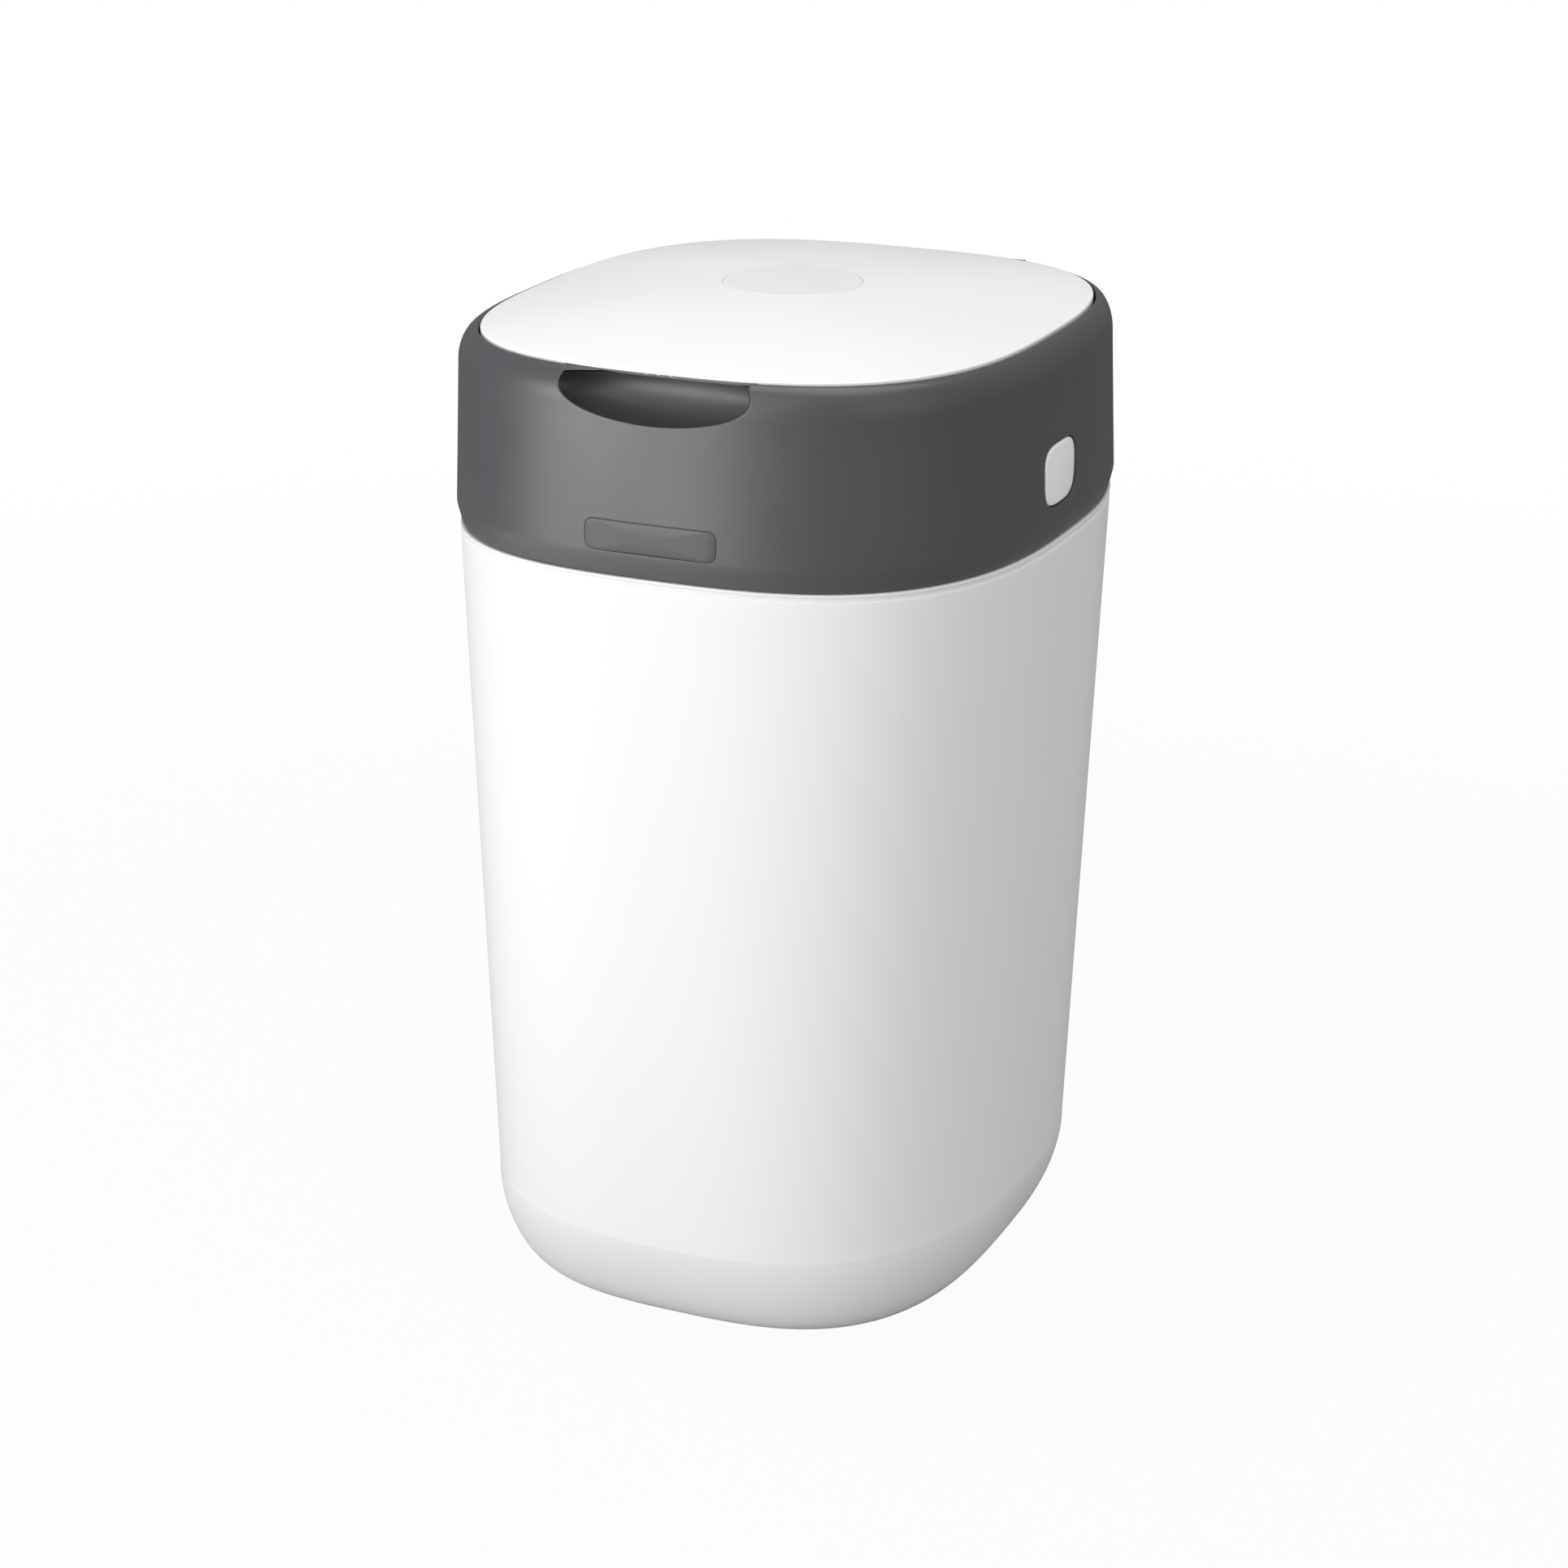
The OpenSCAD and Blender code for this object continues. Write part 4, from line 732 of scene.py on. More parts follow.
def collar_knuckle():
    y, z, r = 152 * MM, 341 * MM, 4.5 * MM
    wall = sizes().collar_y + sizes().collar_b - 1.3 * MM
    profile = [(y + r * math.cos(t), z + r * math.sin(t)) for t in np.linspace(math.pi * 0.91, math.pi * 2.5, 40)]
    profile += [(wall, z + 20 * MM), (wall, z + 1.2 * MM)]
    body = prism("knuckle", profile, -24.7 * MM, 24.7 * MM, "X")
    cut_with(body, prism("bore", circle_points(y, z, 2.05 * MM), -26 * MM, 26 * MM, "X"))
    return eased(body, 0.6 * MM, 3)


def lid_ear(low, high):
    y, z, r = 150 * MM, 418.5 * MM, 3 * MM
    s = sizes()
    back = s.collar_y + s.collar_b
    profile = [(y + r * math.cos(t), z + r * math.sin(t)) for t in np.linspace(-math.pi / 2, math.pi / 2, 25)]
    profile += [(back - 5.7 * MM, z - 0.7 * MM), (back - 5.5 * MM, 402 * MM)]
    ear = prism("lid_ear", profile, low, high, "X")
    cut_with(ear, prism("bore", circle_points(y, z, 1.52 * MM), low - MM, high + MM, "X"))
    return eased(ear, 0.5 * MM, 2)


def screw_post(x, y):
    """Column with its rib to the collar's wall, drilled at both ends."""
    side_x, side_y = math.copysign(1, x), math.copysign(1, y - sizes().collar_y)
    low, high = 348.5 * MM, 410 * MM
    post = prism("post", circle_points(x, y, 5 * MM), low, high, "Z")
    for z0, z1 in ((low - MM, low + 12 * MM), (high - 12 * MM, high + MM)):
        cut_with(post, prism("drill", circle_points(x, y, 1.55 * MM, 24), z0, z1, "Z"))
    run, across = np.array([side_x, side_y]) / math.sqrt(2), np.array([-side_y, side_x]) / math.sqrt(2)
    centre = np.array([x, y])
    corners = []
    for z, reach in ((low, 18.3 * MM), (high, 15.9 * MM)):
        for along, wide in ((2 * MM, -MM), (reach, -MM), (reach, MM), (2 * MM, MM)):
            p = centre + run * along + across * wide
            corners.append((p[0], p[1], z))
    rib = new_object("rib", corners, [(0, 1, 2, 3), (7, 6, 5, 4), (0, 4, 5, 1), (1, 5, 6, 2), (2, 6, 7, 3), (3, 7, 4, 0)])
    face_out(rib)
    return joined(post, rib)


class BIN_OT_lid(BinOperator, bpy.types.Operator):
    """Crowned lid with its skirt, grip ribs, hinge tongue and the round inlay"""
    bl_idname = "bin.lid"
    bl_label = "Lid"

    def execute(self, context):
        s, d = sizes(), details()
        skirt = s.lid_z - 6 * MM
        crowns = [lid_station(k) for k in np.linspace(0.985, 0.02, 44)]
        corner = softened([lid_station(1, skirt), lid_station(1, lid_height(1)), crowns[1]], {1: 0.7 * MM}, 6)
        under = [lid_station(k, lid_height(k) - 2.4 * MM, 2.4 * MM) for k in np.linspace(0.02, 0.98, 24)]
        hem = softened([under[-1], lid_station(1, skirt, 2.4 * MM), lid_station(1, skirt), corner[1]],
                       {1: 0.4 * MM, 2: 0.5 * MM}, 3)[1:-1]
        lid = swept("lid_body", under + hem + corner[1:-1] + crowns[1:])
        seat = prism("seat", [(x, y + s.lid_y) for x, y in circle_points(0, 0, d.disc_radius + 0.12 * MM, 128)],
                     lid_height(0) - 1.4 * MM, lid_height(0) + 4 * MM, "Z")
        cut_with(lid, seat)
        # Solid front over the finger scoop, with the sloping relief cut under its edge
        front, deep = s.lid_y - s.lid_b, s.relief_depth
        nose = block("nose", (-s.relief_half - 2 * MM, front - MM, skirt), (s.relief_half + 2 * MM, front + deep + 2 * MM,
                                                                         s.lid_z + 20 * MM))
        core = [lid_station(1, skirt - MM, 1.2 * MM)]
        core += [lid_station(k, lid_height(k) - 1.2 * MM, 1.2 * MM) for k in (0.985, 0.94, 0.88, 0.82)]
        cut_with(nose, swept("core", core), "INTERSECT")
        cut_with(lid, nose, "UNION")
        edge, slope = s.lid_z - MM, (s.lid_z - MM - skirt) / deep
        top = skirt + slope * (deep + MM)
        relief = block("relief", (-s.relief_half, front - 2 * MM, skirt - MM), (s.relief_half, front + 2 * deep, top))
        cut_with(relief, swept("under", [lid_station(1, skirt - 2 * MM, deep), lid_station(1, skirt, deep),
                                         lid_station(1, top, -MM), lid_station(1, top + MM, -MM)]))
        cut_with(relief, spindle("reach", 0.4 * MM), "INTERSECT")
        cut_with(lid, relief)
        ribs = []
        for x in (-5.5 * MM, 0, 5.5 * MM):
            y = front + 0.3 * MM
            end, fall = y + 10 * MM, slope * 10 * MM
            profile = [(y, edge - 0.5 * MM), (end, edge - 0.5 * MM - fall), (end, edge + 0.3 * MM - fall), (y, edge + 0.3 * MM)]
            ribs.append(eased(prism("grip", profile, x - 0.6 * MM, x + 0.6 * MM, "X"), 0.25 * MM))
        joined(lid, tongue(), *ribs, *liner_bosses())
        finished(lid, "lid", lid_abs(), "white_lid", "lid_shell")
        inlay = crowned_disc("lid_inlay", d.disc_radius, lid_height(0) - 1.4 * MM, 0.15 * MM)
        finished(inlay, "lid", inlay_abs(), "light_grey", "lid_disc")
        return {"FINISHED"}


def column_places():
    """The four screw columns in the corners of the collar."""
    s = sizes()
    corner = 0.5 ** (1 / 2.79)
    reach_x, reach_y = [(half - 2.6 * MM) * corner - 10.6 * MM for half in (s.collar_a, s.collar_b)]
    return [(sx * reach_x, s.collar_y + sy * reach_y) for sx in (-1, 1) for sy in (-1, 1)]


def liner_places():
    """The four screws of the lid's liner."""
    reach, turn = 110.35 * MM, math.radians(46.47)
    return [(sx * reach * math.cos(turn), sizes().collar_y + sy * reach * math.sin(turn)) for sx in (-1, 1) for sy in (-1, 1)]


def liner_bosses():
    s = sizes()
    bosses = []
    for x, y in liner_places():
        k = (abs(x / s.lid_a) ** 2.87 + abs((y - s.lid_y) / s.lid_b) ** 2.87) ** (1 / 2.87)
        low, high = s.lid_z - 4 * MM, lid_height(k) - 1.2 * MM
        boss = prism("boss", circle_points(x, y, 4 * MM), low, high, "Z")
        cut_with(boss, prism("drill", circle_points(x, y, 1.55 * MM, 24), low - MM, low + 5 * MM, "Z"))
        bosses.append(boss)
    return bosses


def block(name, low, high):
    """Box between two corners."""
    outline_xy = [(low[0], low[1]), (high[0], low[1]), (high[0], high[1]), (low[0], high[1])]
    return prism(name, outline_xy, low[2], high[2], "Z")


def tongue():
    """Hinge tongue and barrel behind the lid."""
    s = sizes()
    back = s.lid_y + s.lid_b
    y, z, r = 150 * MM, 418.5 * MM, 3 * MM
    profile = [(y + r * math.cos(t), z + r * math.sin(t)) for t in np.linspace(-math.pi / 2, math.pi / 2, 25)]
    profile += [(back + 1.2 * MM, s.lid_z - 1.4 * MM), (back - 2.4 * MM, s.lid_z - 1.4 * MM),
                (back - 2.4 * MM, s.lid_z - 5.8 * MM), (back + 4 * MM, s.lid_z - 7.6 * MM)]
    body = prism("tongue", profile, -45.7 * MM, 45.7 * MM, "X")
    cut_with(body, prism("bore", circle_points(y, z, 1.55 * MM), -47 * MM, 47 * MM, "X"))
    return eased(body, 0.5 * MM, 2)


def crowned_disc(name, radius, low, lift):
    """Flat-bottomed disc whose face follows the lid's crown, with a rounded rim."""
    s = sizes()
    steps = 128
    rings = [(radius, low)]
    ease = 0.5 * MM
    for k in range(6):
        t = math.pi / 2 * k / 5
        rings.append((radius - ease + ease * math.cos(t), -ease + ease * math.sin(t)))
    rings += [(radius * f, 0.0) for f in np.linspace(0.95, 0.06, 12)]
    verts, faces = [], []
    for i, (r, h) in enumerate(rings):
        for t in np.linspace(0, 2 * np.pi, steps, endpoint=False):
            x, y = r * math.cos(t), r * math.sin(t)
            k = (abs(x / s.lid_a) ** 2.87 + abs(y / s.lid_b) ** 2.87) ** (1 / 2.87)
            verts.append((x, s.lid_y + y, low if i == 0 else lid_height(k) + lift + h))
    for k in range(len(rings) - 1):
        for i in range(steps):
            j = (i + 1) % steps
            faces.append((k * steps + i, k * steps + j, (k + 1) * steps + j, (k + 1) * steps + i))
    faces.append(tuple(range(steps - 1, -1, -1)))
    faces.append(tuple((len(rings) - 1) * steps + i for i in range(steps)))
    obj = new_object(name, verts, faces)
    face_out(obj)
    return obj


class BIN_OT_button(BinOperator, bpy.types.Operator):
    """Release button with a softly domed face and an eased rim"""
    bl_idname = "bin.button"
    bl_label = "Release button"

    def execute(self, context):
        d = details()
        face_x = 130.29 * MM
        dome = 150 * MM
        rings = [(1.0, 118.79 * MM, 0.0)]
        ease = 0.9 * MM
        smallest = min(d.button_half_width, d.button_half_height)
        for k in range(7):
            t = math.pi / 2 * k / 6
            rings.append((1 - ease * (1 - math.cos(t)) / smallest, face_x, -ease * (1 - math.sin(t))))
        rings += [(f, face_x, 0.0) for f in np.linspace(0.88, 0.06, 14)]
        steps = 128
        verts, faces = [], []
        for i, (f, x, drop) in enumerate(rings):
            for u, v in squircle(d.button_half_width * f, d.button_half_height * f, steps=steps):
                sag = dome - math.sqrt(dome * dome - u * u - v * v)
                verts.append((x if i == 0 else x + drop - sag, d.button_y + u, d.button_z + v))
        for k in range(len(rings) - 1):
            for i in range(steps):
                j = (i + 1) % steps
                faces.append((k * steps + i, k * steps + j, (k + 1) * steps + j, (k + 1) * steps + i))
        faces.append(tuple(range(steps - 1, -1, -1)))
        faces.append(tuple((len(rings) - 1) * steps + i for i in range(steps)))
        cap = new_object("button_face", verts, faces)
        face_out(cap)
        flange = prism("flange", [(d.button_y + u, d.button_z + v) for u, v in
                                  squircle(d.button_half_width + 2.5 * MM, d.button_half_height + 2.5 * MM)],
                       122.8 * MM, 125.1 * MM, "X")
        eased(flange, 0.4 * MM)
        hollow = prism("hollow", [(d.button_y + u, d.button_z + v) for u, v in
                                  squircle(d.button_half_width - 2.5 * MM, d.button_half_height - 2.5 * MM)],
                       117 * MM, 127.49 * MM, "X")
        cut_with(cap, hollow)
        joined(cap, flange)
        finished(cap, "release_button", button_abs(), "light_grey", "button_cap")
        return {"FINISHED"}


# Pieces that geometry nodes make

def node_group(name, inputs):
    """New geometry node tree with the named inputs; gives the tree, its input node and its output node."""
    tree = bpy.data.node_groups.new(name, "GeometryNodeTree")
    tree.interface.new_socket("Geometry", in_out="OUTPUT", socket_type="NodeSocketGeometry")
    for label, kind in inputs:
        tree.interface.new_socket(label, in_out="INPUT", socket_type=kind)
    start = tree.nodes.new("NodeGroupInput")
    end = tree.nodes.new("NodeGroupOutput")
    return tree, start, end


def grow_piece(name, tree, values, body, material, slot, *replaced):
    """Runs a node tree on an empty mesh and keeps the result as a plain mesh."""
    obj = new_object(name, [], [])
    run = obj.modifiers.new("grow", "NODES")
    run.node_group = tree
    ids = {item.name: item.identifier for item in tree.interface.items_tree if item.in_out == "INPUT"}
    for label, value in values.items():
        run[ids[label]] = value
    baked(obj)
    return finished(obj, body, material, slot, *replaced)


def ring_of(tree, start, shape, radius, centre, count, z_turn=0.0):
    """Places a shape on a circle, turned to face its middle."""
    circle = add(tree, "GeometryNodeMeshCircle", {"Vertices": count, "Radius": radius})
    place = add(tree, "GeometryNodeTransform", {"Geometry": circle.outputs["Mesh"]}, {"Translation": centre})
    index = add(tree, "GeometryNodeInputIndex")
    part = add(tree, "ShaderNodeMath", {0: index.outputs["Index"], 1: count}, operation="DIVIDE")
    turn = add(tree, "ShaderNodeMath", {0: part.outputs["Value"]}, {1: 2 * math.pi}, operation="MULTIPLY")
    angle = add(tree, "ShaderNodeCombineXYZ", {"Z": turn.outputs["Value"]})
    return add(tree, "GeometryNodeInstanceOnPoints",
               {"Points": place.outputs["Geometry"], "Instance": shape, "Rotation": angle.outputs["Vector"]})


def close_tree(tree, end, instances, material):
    real = add(tree, "GeometryNodeRealizeInstances", {"Geometry": instances})
    painted = add(tree, "GeometryNodeSetMaterial", {"Geometry": real.outputs["Geometry"]}, {"Material": material})
    tree.links.new(painted.outputs["Geometry"], end.inputs["Geometry"])


class BIN_OT_grip_ribs(BinOperator, bpy.types.Operator):
    """Fine ribs round the inside of the twist ring's rim"""
    bl_idname = "bin.grip_ribs"
    bl_label = "Twist ring ribs"

    def execute(self, context):
        material = white_abs()
        tree, start, end = node_group("rim ribs", [("Count", "NodeSocketInt"), ("Radius", "NodeSocketFloat"),
                                                   ("Height", "NodeSocketFloat"), ("Width", "NodeSocketFloat")])
        size = add(tree, "ShaderNodeCombineXYZ", {"X": start.outputs["Width"], "Y": start.outputs["Width"],
                                                  "Z": start.outputs["Height"]})
        rib = add(tree, "GeometryNodeMeshCube", {"Size": size.outputs["Vector"]},
                  {"Vertices X": 2, "Vertices Y": 2, "Vertices Z": 3})
        centre = (0, sizes().collar_y, 404.3 * MM)
        ring = ring_of(tree, start, rib.outputs["Mesh"], start.outputs["Radius"], centre, start.outputs["Count"])
        close_tree(tree, end, ring.outputs["Instances"], material)
        grow_piece("twist_ring_ribs", tree, {"Count": details().knurls, "Radius": 93.7 * MM, "Height": 3.4 * MM,
                                             "Width": 1.5 * MM}, "twist_drum", material, "white_inner")
        return {"FINISHED"}


class BIN_OT_film(BinOperator, bpy.types.Operator):
    """Film packed in the cassette in upright folds"""
    bl_idname = "bin.film"
    bl_label = "Packed film"

    def execute(self, context):
        material = film_polyethylene()
        tree, start, end = node_group("film folds", [("Count", "NodeSocketInt"), ("Radius", "NodeSocketFloat"),
                                                     ("Length", "NodeSocketFloat"), ("Height", "NodeSocketFloat")])
        size = add(tree, "ShaderNodeCombineXYZ", {"X": start.outputs["Length"], "Z": start.outputs["Height"]},
                   {"Y": 2.2 * MM})
        fold = add(tree, "GeometryNodeMeshCube", {"Size": size.outputs["Vector"]},
                   {"Vertices X": 7, "Vertices Y": 2, "Vertices Z": 7})
        at = add(tree, "GeometryNodeInputPosition")
        wobble = add(tree, "ShaderNodeTexNoise", {"Vector": at.outputs["Position"]}, {"Scale": 1 / (11 * MM), "Detail": 1.0})
        centred = add(tree, "ShaderNodeVectorMath", {0: wobble.outputs["Color"]}, {1: (0.5, 0.5, 0.5)}, operation="SUBTRACT")
        pushed = add(tree, "ShaderNodeVectorMath", {0: centred.outputs["Vector"]}, {1: (0.002, 0.006, 0.002)},
                     operation="MULTIPLY")
        centre = (0, sizes().collar_y, 374.3 * MM)
        ring = ring_of(tree, start, fold.outputs["Mesh"], start.outputs["Radius"], centre, start.outputs["Count"])
        real = add(tree, "GeometryNodeRealizeInstances", {"Geometry": ring.outputs["Instances"]})
        crumpled = add(tree, "GeometryNodeSetPosition", {"Geometry": real.outputs["Geometry"],
                                                         "Offset": pushed.outputs["Vector"]})
        close_tree(tree, end, crumpled.outputs["Geometry"], material)
        grow_piece("film_folds", tree, {"Count": details().pleats, "Radius": 75.5 * MM, "Length": 27 * MM,
                                        "Height": 35 * MM}, "twist_drum", material, "film", "film_pack")
        return {"FINISHED"}


class BIN_OT_spring(BinOperator, bpy.types.Operator):
    """Coiled return spring behind the button"""
    bl_idname = "bin.spring"
    bl_label = "Return spring"

    def execute(self, context):
        material = drawn_steel()
        tree, start, end = node_group("return spring", [("Turns", "NodeSocketFloat"), ("Radius", "NodeSocketFloat"),
                                                        ("Length", "NodeSocketFloat"), ("Wire", "NodeSocketFloat")])
        coil = add(tree, "GeometryNodeCurveSpiral",
                   {"Rotations": start.outputs["Turns"], "Start Radius": start.outputs["Radius"],
                    "End Radius": start.outputs["Radius"], "Height": start.outputs["Length"]}, {"Resolution": 28})
        wire = add(tree, "GeometryNodeCurvePrimitiveCircle", {"Radius": start.outputs["Wire"]}, {"Resolution": 10})
        tube = add(tree, "GeometryNodeCurveToMesh", {"Curve": coil.outputs["Curve"], "Profile Curve": wire.outputs["Curve"]},
                   {"Fill Caps": True})
        place = add(tree, "GeometryNodeTransform", {"Geometry": tube.outputs["Mesh"]},
                    {"Rotation": (0, math.pi / 2, 0),
                     "Translation": (107.6 * MM, details().button_y, details().button_z)})
        close_tree(tree, end, place.outputs["Geometry"], material)
        coil = grow_piece("button_coil", tree, {"Turns": 4.0, "Radius": 4.5 * MM, "Length": 7.8 * MM, "Wire": 0.5 * MM},
                          "upper_unit", material, "steel", "button_spring")
        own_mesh(coil)
        return {"FINISHED"}


class BIN_OT_screws(BinOperator, bpy.types.Operator):
    """Cross-head screws of the deck, the covers and the lid liner"""
    bl_idname = "bin.screws"
    bl_label = "Screws"

    def execute(self, context):
        s = sizes()
        material = drawn_steel()
        corners, liner = column_places(), liner_places()
        clamp = [(71 * MM * math.cos(math.radians(60 * i + 30)), s.collar_y + 71 * MM * math.sin(math.radians(60 * i + 30)))
                 for i in range(6)]
        sets = [("deck_screw_set", corners, 412, 11, -1, "upper_unit", "deck_screws"),
                ("cover_screw_set", corners, 346.5, 11, 1, "upper_unit", "cover_screws"),
                ("liner_screw_set", liner, 419, 6, 1, "lid", "liner_screws"),
                ("clamp_screw_set", clamp, 339.5, 10.8, 1, "upper_unit", "clamp_screws")]
        for name, places, z, depth, up, body, node in sets:
            shape = screw_shape(depth * MM)
            points = new_object(name, [(x, y, z * MM) for x, y in places], [])
            tree, start, end = node_group(name, [("Points", "NodeSocketGeometry"), ("Turn", "NodeSocketFloat")])
            shape_in = add(tree, "GeometryNodeObjectInfo", values={"Object": shape})
            flip = add(tree, "ShaderNodeCombineXYZ", {"Z": start.outputs["Turn"]}, {"X": 0.0 if up > 0 else math.pi})
            put = add(tree, "GeometryNodeInstanceOnPoints",
                      {"Points": start.outputs["Points"], "Instance": shape_in.outputs["Geometry"],
                       "Rotation": flip.outputs["Vector"]})
            close_tree(tree, end, put.outputs["Instances"], material)
            run = points.modifiers.new("place", "NODES")
            run.node_group = tree
            ids = {item.name: item.identifier for item in tree.interface.items_tree if item.in_out == "INPUT"}
            run[ids["Turn"]] = 0.4
            baked(points)
            bpy.data.objects.remove(shape)
            finished(points, body, material, "steel", node)
        return {"FINISHED"}


def screw_shape(depth):
    """One pan-head screw at the origin, its head below and its shank above, with a cross recess."""
    r, head, thick = 1.5 * MM, 3 * MM, 1.8 * MM
    profile = [(0.0001 * MM, -thick), (head * 0.62, -thick), (head * 0.86, -thick * 0.85), (head, -thick * 0.5), (head, 0),
               (r, 0)]
    z, k = 0.6 * MM, 0
    while z < depth - 0.8 * MM:
        profile.append((r if k % 2 else r * 0.8, z))
        z += 0.45 * MM
        k += 1
    profile += [(r * 0.7, depth - 0.5 * MM), (0.0001 * MM, depth)]
    screw = lathed("screw", profile, 0, 24)
    for turn in (0, math.pi / 2):
        arm = [(u * math.cos(turn) - v * math.sin(turn), u * math.sin(turn) + v * math.cos(turn)) for u, v in
               ((-1.7 * MM, -0.3 * MM), (1.7 * MM, -0.3 * MM), (1.7 * MM, 0.3 * MM), (-1.7 * MM, 0.3 * MM))]
        cut_with(screw, prism("cross", arm, -thick - MM, -thick + 0.9 * MM, "Z"))
    return screw


class BIN_OT_inner_finish(BinOperator, bpy.types.Operator):
    """Finishes of the inner pieces that keep their own shape"""
    bl_idname = "bin.inner_finish"
    bl_label = "Inner finishes"

    def execute(self, context):
        finishes = {
            inner_abs: ("inner_deck", "drum_housing", "lower_cover", "clamp_ring", "button_guide", "cassette_tray",
                        "latch_hook"),
            pale_abs: ("retaining_fingers", "click_pawl"),
            white_abs: ("lid_liner", "twist_ring", "cutter_ring"),
            natural_polypropylene: ("film_cassette", "cassette_cap"),
            moulded_rubber: ("base_ring", "lid_seal"),
            drawn_steel: ("unit_hinge_pin", "lid_hinge_pin", "pawl_pin", "hook_screws", "cutter_blade", "blade_screws"),
        }
        for finish, nodes in finishes.items():
            for name in nodes:
                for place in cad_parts[name].material_slots:
                    place.material = finish()
        return {"FINISHED"}


class BIN_OT_stage(BinOperator, bpy.types.Operator):
    """Pale floor, soft studio lamps and the camera at the photograph's angle"""
    bl_idname = "bin.stage"
    bl_label = "Stage"

    def execute(self, context):
        scene = context.scene
        floor = new_object("floor", [(-6, -6, 0), (6, -6, 0), (6, 6, 0), (-6, 6, 0)], [(0, 1, 2, 3)])
        floor.data.materials.append(floor_paint())
        world = bpy.data.worlds.new("studio")
        scene.world = world
        world.use_nodes = True
        tree = world.node_tree
        tree.nodes.clear()
        path = add(tree, "ShaderNodeLightPath")
        seen = add(tree, "ShaderNodeMath", {0: path.outputs["Is Camera Ray"], 1: path.outputs["Is Transmission Ray"]},
                   operation="MAXIMUM")
        lit = add(tree, "ShaderNodeMapRange", {"Value": path.outputs["Is Glossy Ray"]},
                  {"To Min": AMBIENT, "To Max": MIRRORED})
        level = add(tree, "ShaderNodeMapRange", {"Value": seen.outputs["Value"], "To Min": lit.outputs["Result"]},
                    {"To Max": 1.0})
        sky = add(tree, "ShaderNodeBackground", {"Strength": level.outputs["Result"]}, {"Color": (1, 1, 1, 1)})
        add(tree, "ShaderNodeOutputWorld", {"Surface": sky.outputs["Background"]})
        for name, azimuth, height, reach, size, watts in LAMPS:
            lamp = bpy.data.lights.new(name, "AREA")
            lamp.shape = "RECTANGLE"
            lamp.size, lamp.size_y = size
            lamp.energy = watts
            obj = bpy.data.objects.new(name, lamp)
            turn = math.radians(azimuth)
            obj.location = (reach * math.sin(turn), -reach * math.cos(turn), height)
            obj.rotation_euler = (Vector((0, 0, 0.28)) - obj.location).to_track_quat("-Z", "Y").to_euler()
            obj.visible_camera = False
            scene.collection.objects.link(obj)
        camera = bpy.data.cameras.new("camera")
        camera.sensor_width = 36
        camera.lens = 4449.49 / 1932 * 36
        camera.shift_x = (1932 / 2 - 968.0) / 1932
        camera.shift_y = (928.88 - 1932 / 2) / 1932
        camera.clip_start, camera.clip_end = 0.05, 50
        eye = bpy.data.objects.new("camera", camera)
        eye.location = (0.615458, -1.383168, 0.765742)
        eye.rotation_euler = (Vector((0, 0, 0.22316)) - eye.location).to_track_quat("-Z", "Y").to_euler()
        scene.collection.objects.link(eye)
        scene.camera = eye
        scene.view_settings.view_transform = "Standard"
        return {"FINISHED"}


AMBIENT = 0.65
MIRRORED = 0.22
# Name, azimuth from the front and height and distance in degrees and metres, width and height, and power in watts
LAMPS = [
    ("key", -14, 1.5, 2.3, (1.8, 1.8), 9.6),
    ("low_front", -30, 0.36, 1.7, (1.2, 0.6), 11.1),
    ("right_fill", 62, 1.2, 2.3, (1.8, 1.8), 3.5),
    ("top", 0, 2.6, 0.0, (2.2, 2.2), 26),
]


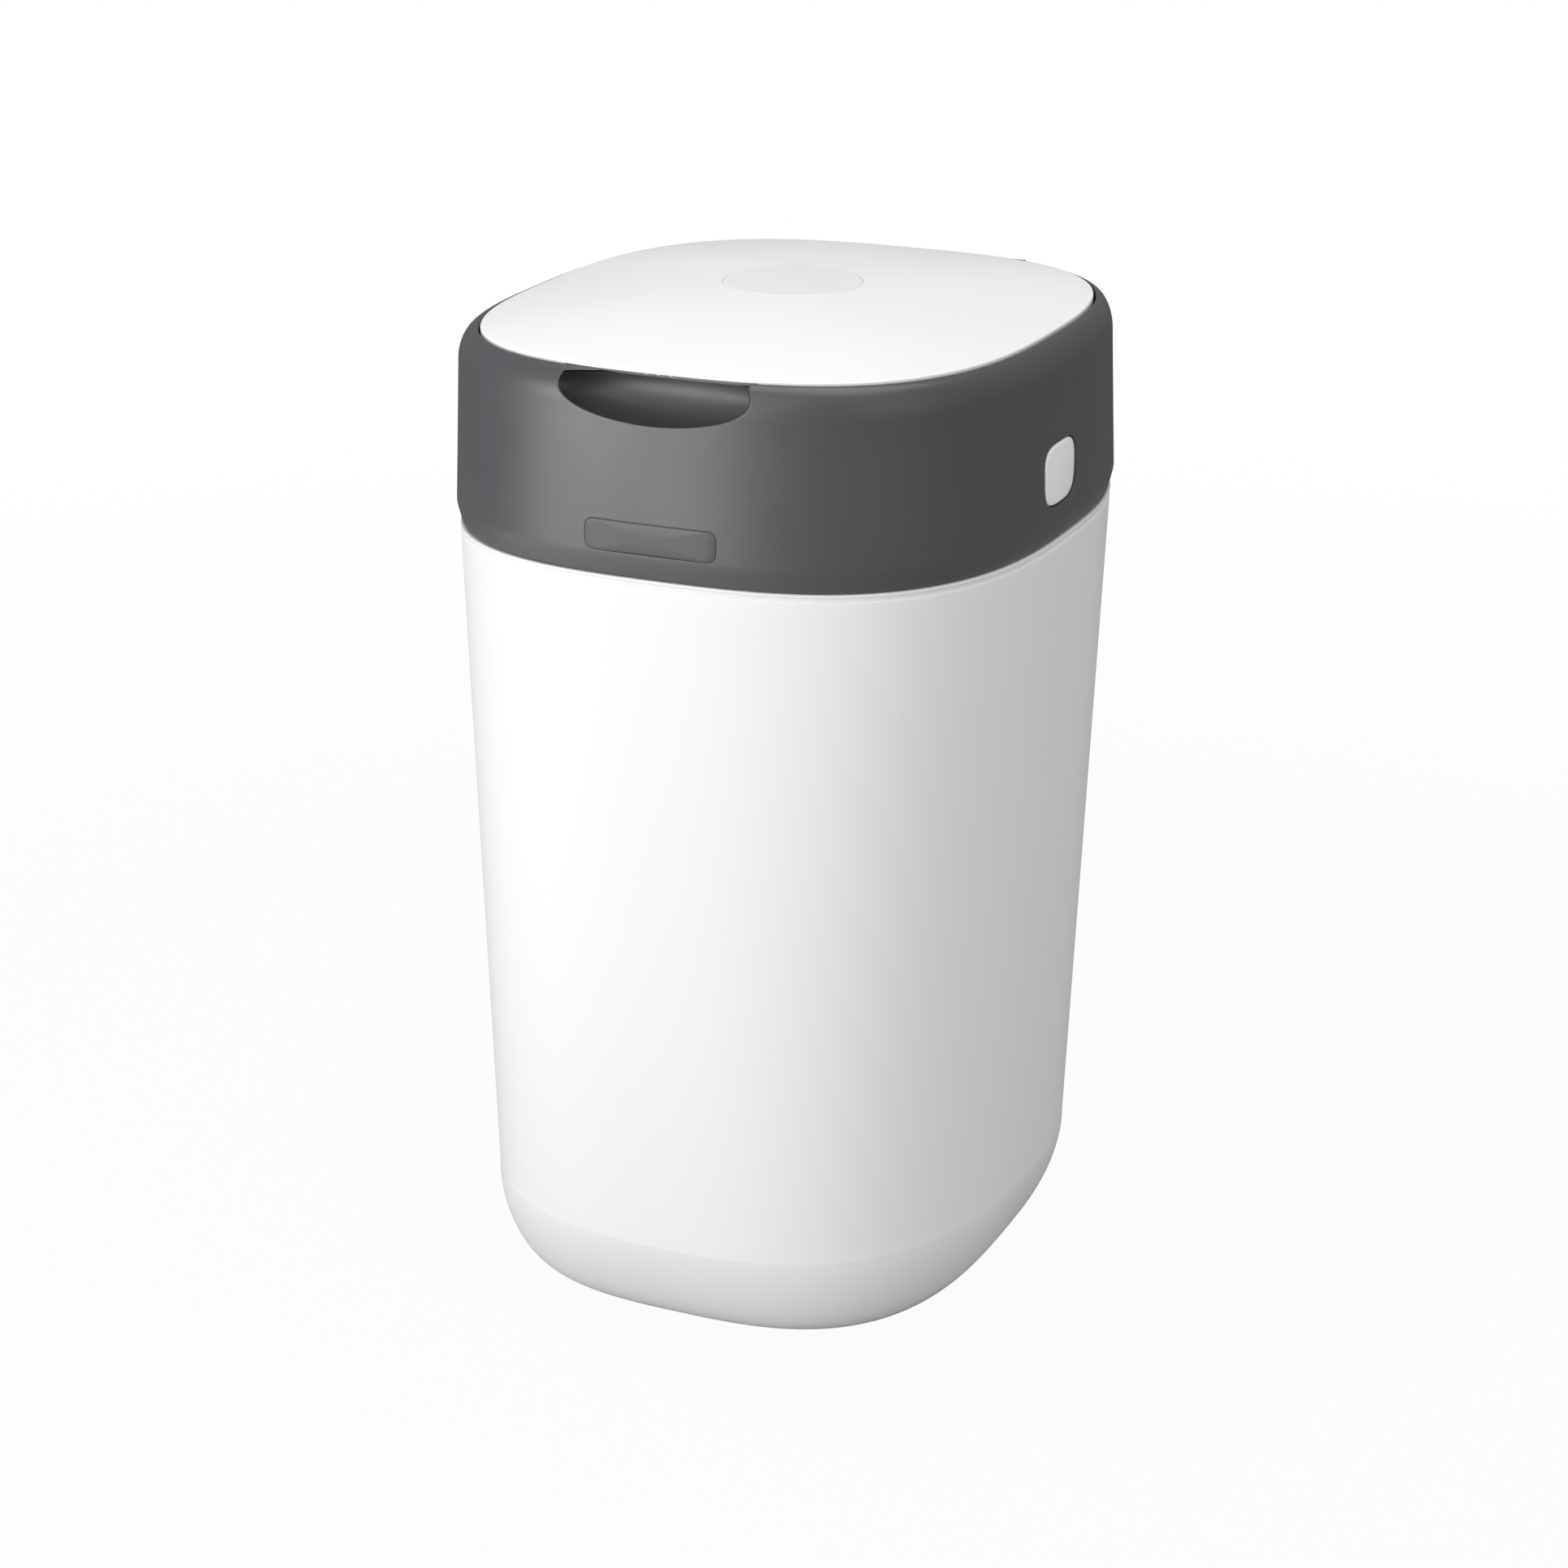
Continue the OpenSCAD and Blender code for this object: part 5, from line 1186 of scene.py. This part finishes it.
def floor_paint():
    """White sweep: reads as white to the camera and keeps a faint shadow; to all other rays a patch in front of the bin
    glows as painted light.
    """
    material, tree = new_material("white_sweep")
    if tree is None:
        return material
    at = add(tree, "ShaderNodeTexCoord").outputs["Object"]
    cloud = add(tree, "ShaderNodeTexNoise", {"Vector": at}, {"Scale": 3.0})
    rough = add(tree, "ShaderNodeMapRange", {"Value": cloud.outputs["Fac"]}, {"To Min": 0.85, "To Max": 0.95})
    plain = add(tree, "ShaderNodeBsdfPrincipled", {"Roughness": rough.outputs["Result"]},
                {"Base Color": to_linear("#BABABA"), "Specular IOR Level": 0.0})
    glow = add(tree, "ShaderNodeEmission", values={"Color": (1, 1, 1, 1), "Strength": 1.0})
    path = add(tree, "ShaderNodeLightPath")
    # Painted pool of light: unseen by the camera, a patch of floor in front of the bin glows, which lights the bin's
    # base and shows as a painted reflection in its glossy sides
    away = add(tree, "ShaderNodeVectorMath", {0: at}, {1: (-0.6, -0.7, 0.0)}, operation="DISTANCE")
    painted_light_pool = add(tree, "ShaderNodeMapRange", {"Value": away.outputs["Value"]},
               {"From Min": 0.2, "From Max": 0.85, "To Min": 1.5, "To Max": 0.0}, interpolation_type="SMOOTHSTEP")
    level = add(tree, "ShaderNodeMapRange", {"Value": path.outputs["Is Camera Ray"], "To Min": painted_light_pool.outputs["Result"]},
                {"To Max": 1.0})
    tree.links.new(level.outputs["Result"], glow.inputs["Strength"])
    # Painted shade in reflections: glossy rays see the floor away from the pool at four tenths of its plain shading
    dimmed = add(tree, "ShaderNodeMath", {0: path.outputs["Is Glossy Ray"]}, {1: 0.6}, operation="MULTIPLY")
    seen = add(tree, "ShaderNodeMath", {0: dimmed.outputs["Value"], 1: level.outputs["Result"]}, operation="MAXIMUM")
    # Far from the bin the floor is plain white, so that no line shows where it ends
    far = add(tree, "ShaderNodeVectorMath", {0: at}, operation="LENGTH")
    share = add(tree, "ShaderNodeMapRange", {"Value": far.outputs["Value"]},
                {"From Min": 0.5, "From Max": 1.5, "To Min": 0.95, "To Max": 1.0}, interpolation_type="SMOOTHSTEP")
    part = add(tree, "ShaderNodeMath", {0: seen.outputs["Value"], 1: share.outputs["Result"]}, operation="MULTIPLY")
    both = add(tree, "ShaderNodeMixShader", {0: part.outputs["Value"], 1: plain.outputs["BSDF"],
                                             2: glow.outputs["Emission"]})
    add(tree, "ShaderNodeOutputMaterial", {"Surface": both.outputs["Shader"]})
    return material


class BIN_PT_panel(bpy.types.Panel):
    """Steps that dress the nappy bin"""
    bl_idname = "BIN_PT_panel"
    bl_label = "Nappy bin"
    bl_space_type = "VIEW_3D"
    bl_region_type = "UI"
    bl_category = "Nappy bin"

    def draw(self, context):
        for step in STEPS:
            self.layout.operator(step.bl_idname)
        for group in (context.scene.bin_shells, context.scene.bin_details, context.scene.bin_colours):
            box = self.layout.box()
            for key in group.__annotations__:
                box.prop(group, key)


STEPS = (BIN_OT_stage, BIN_OT_tub, BIN_OT_collar, BIN_OT_lid, BIN_OT_button, BIN_OT_grip_ribs, BIN_OT_film, BIN_OT_spring,
         BIN_OT_screws, BIN_OT_inner_finish)
GROUPS = (BinShellSizes, BinDetailSizes, BinColours)


def register():
    for cls in GROUPS + STEPS + (BIN_PT_panel,):
        bpy.utils.register_class(cls)
    bpy.types.Scene.bin_shells = PointerProperty(type=BinShellSizes)
    bpy.types.Scene.bin_details = PointerProperty(type=BinDetailSizes)
    bpy.types.Scene.bin_colours = PointerProperty(type=BinColours)


def unregister():
    for name in ("bin_shells", "bin_details", "bin_colours"):
        delattr(bpy.types.Scene, name)
    for cls in reversed(GROUPS + STEPS + (BIN_PT_panel,)):
        bpy.utils.unregister_class(cls)


def main():
    register()
    for step in STEPS:
        group, name = step.bl_idname.split(".")
        getattr(getattr(bpy.ops, group), name)()


if __name__ == "__main__":
    main()
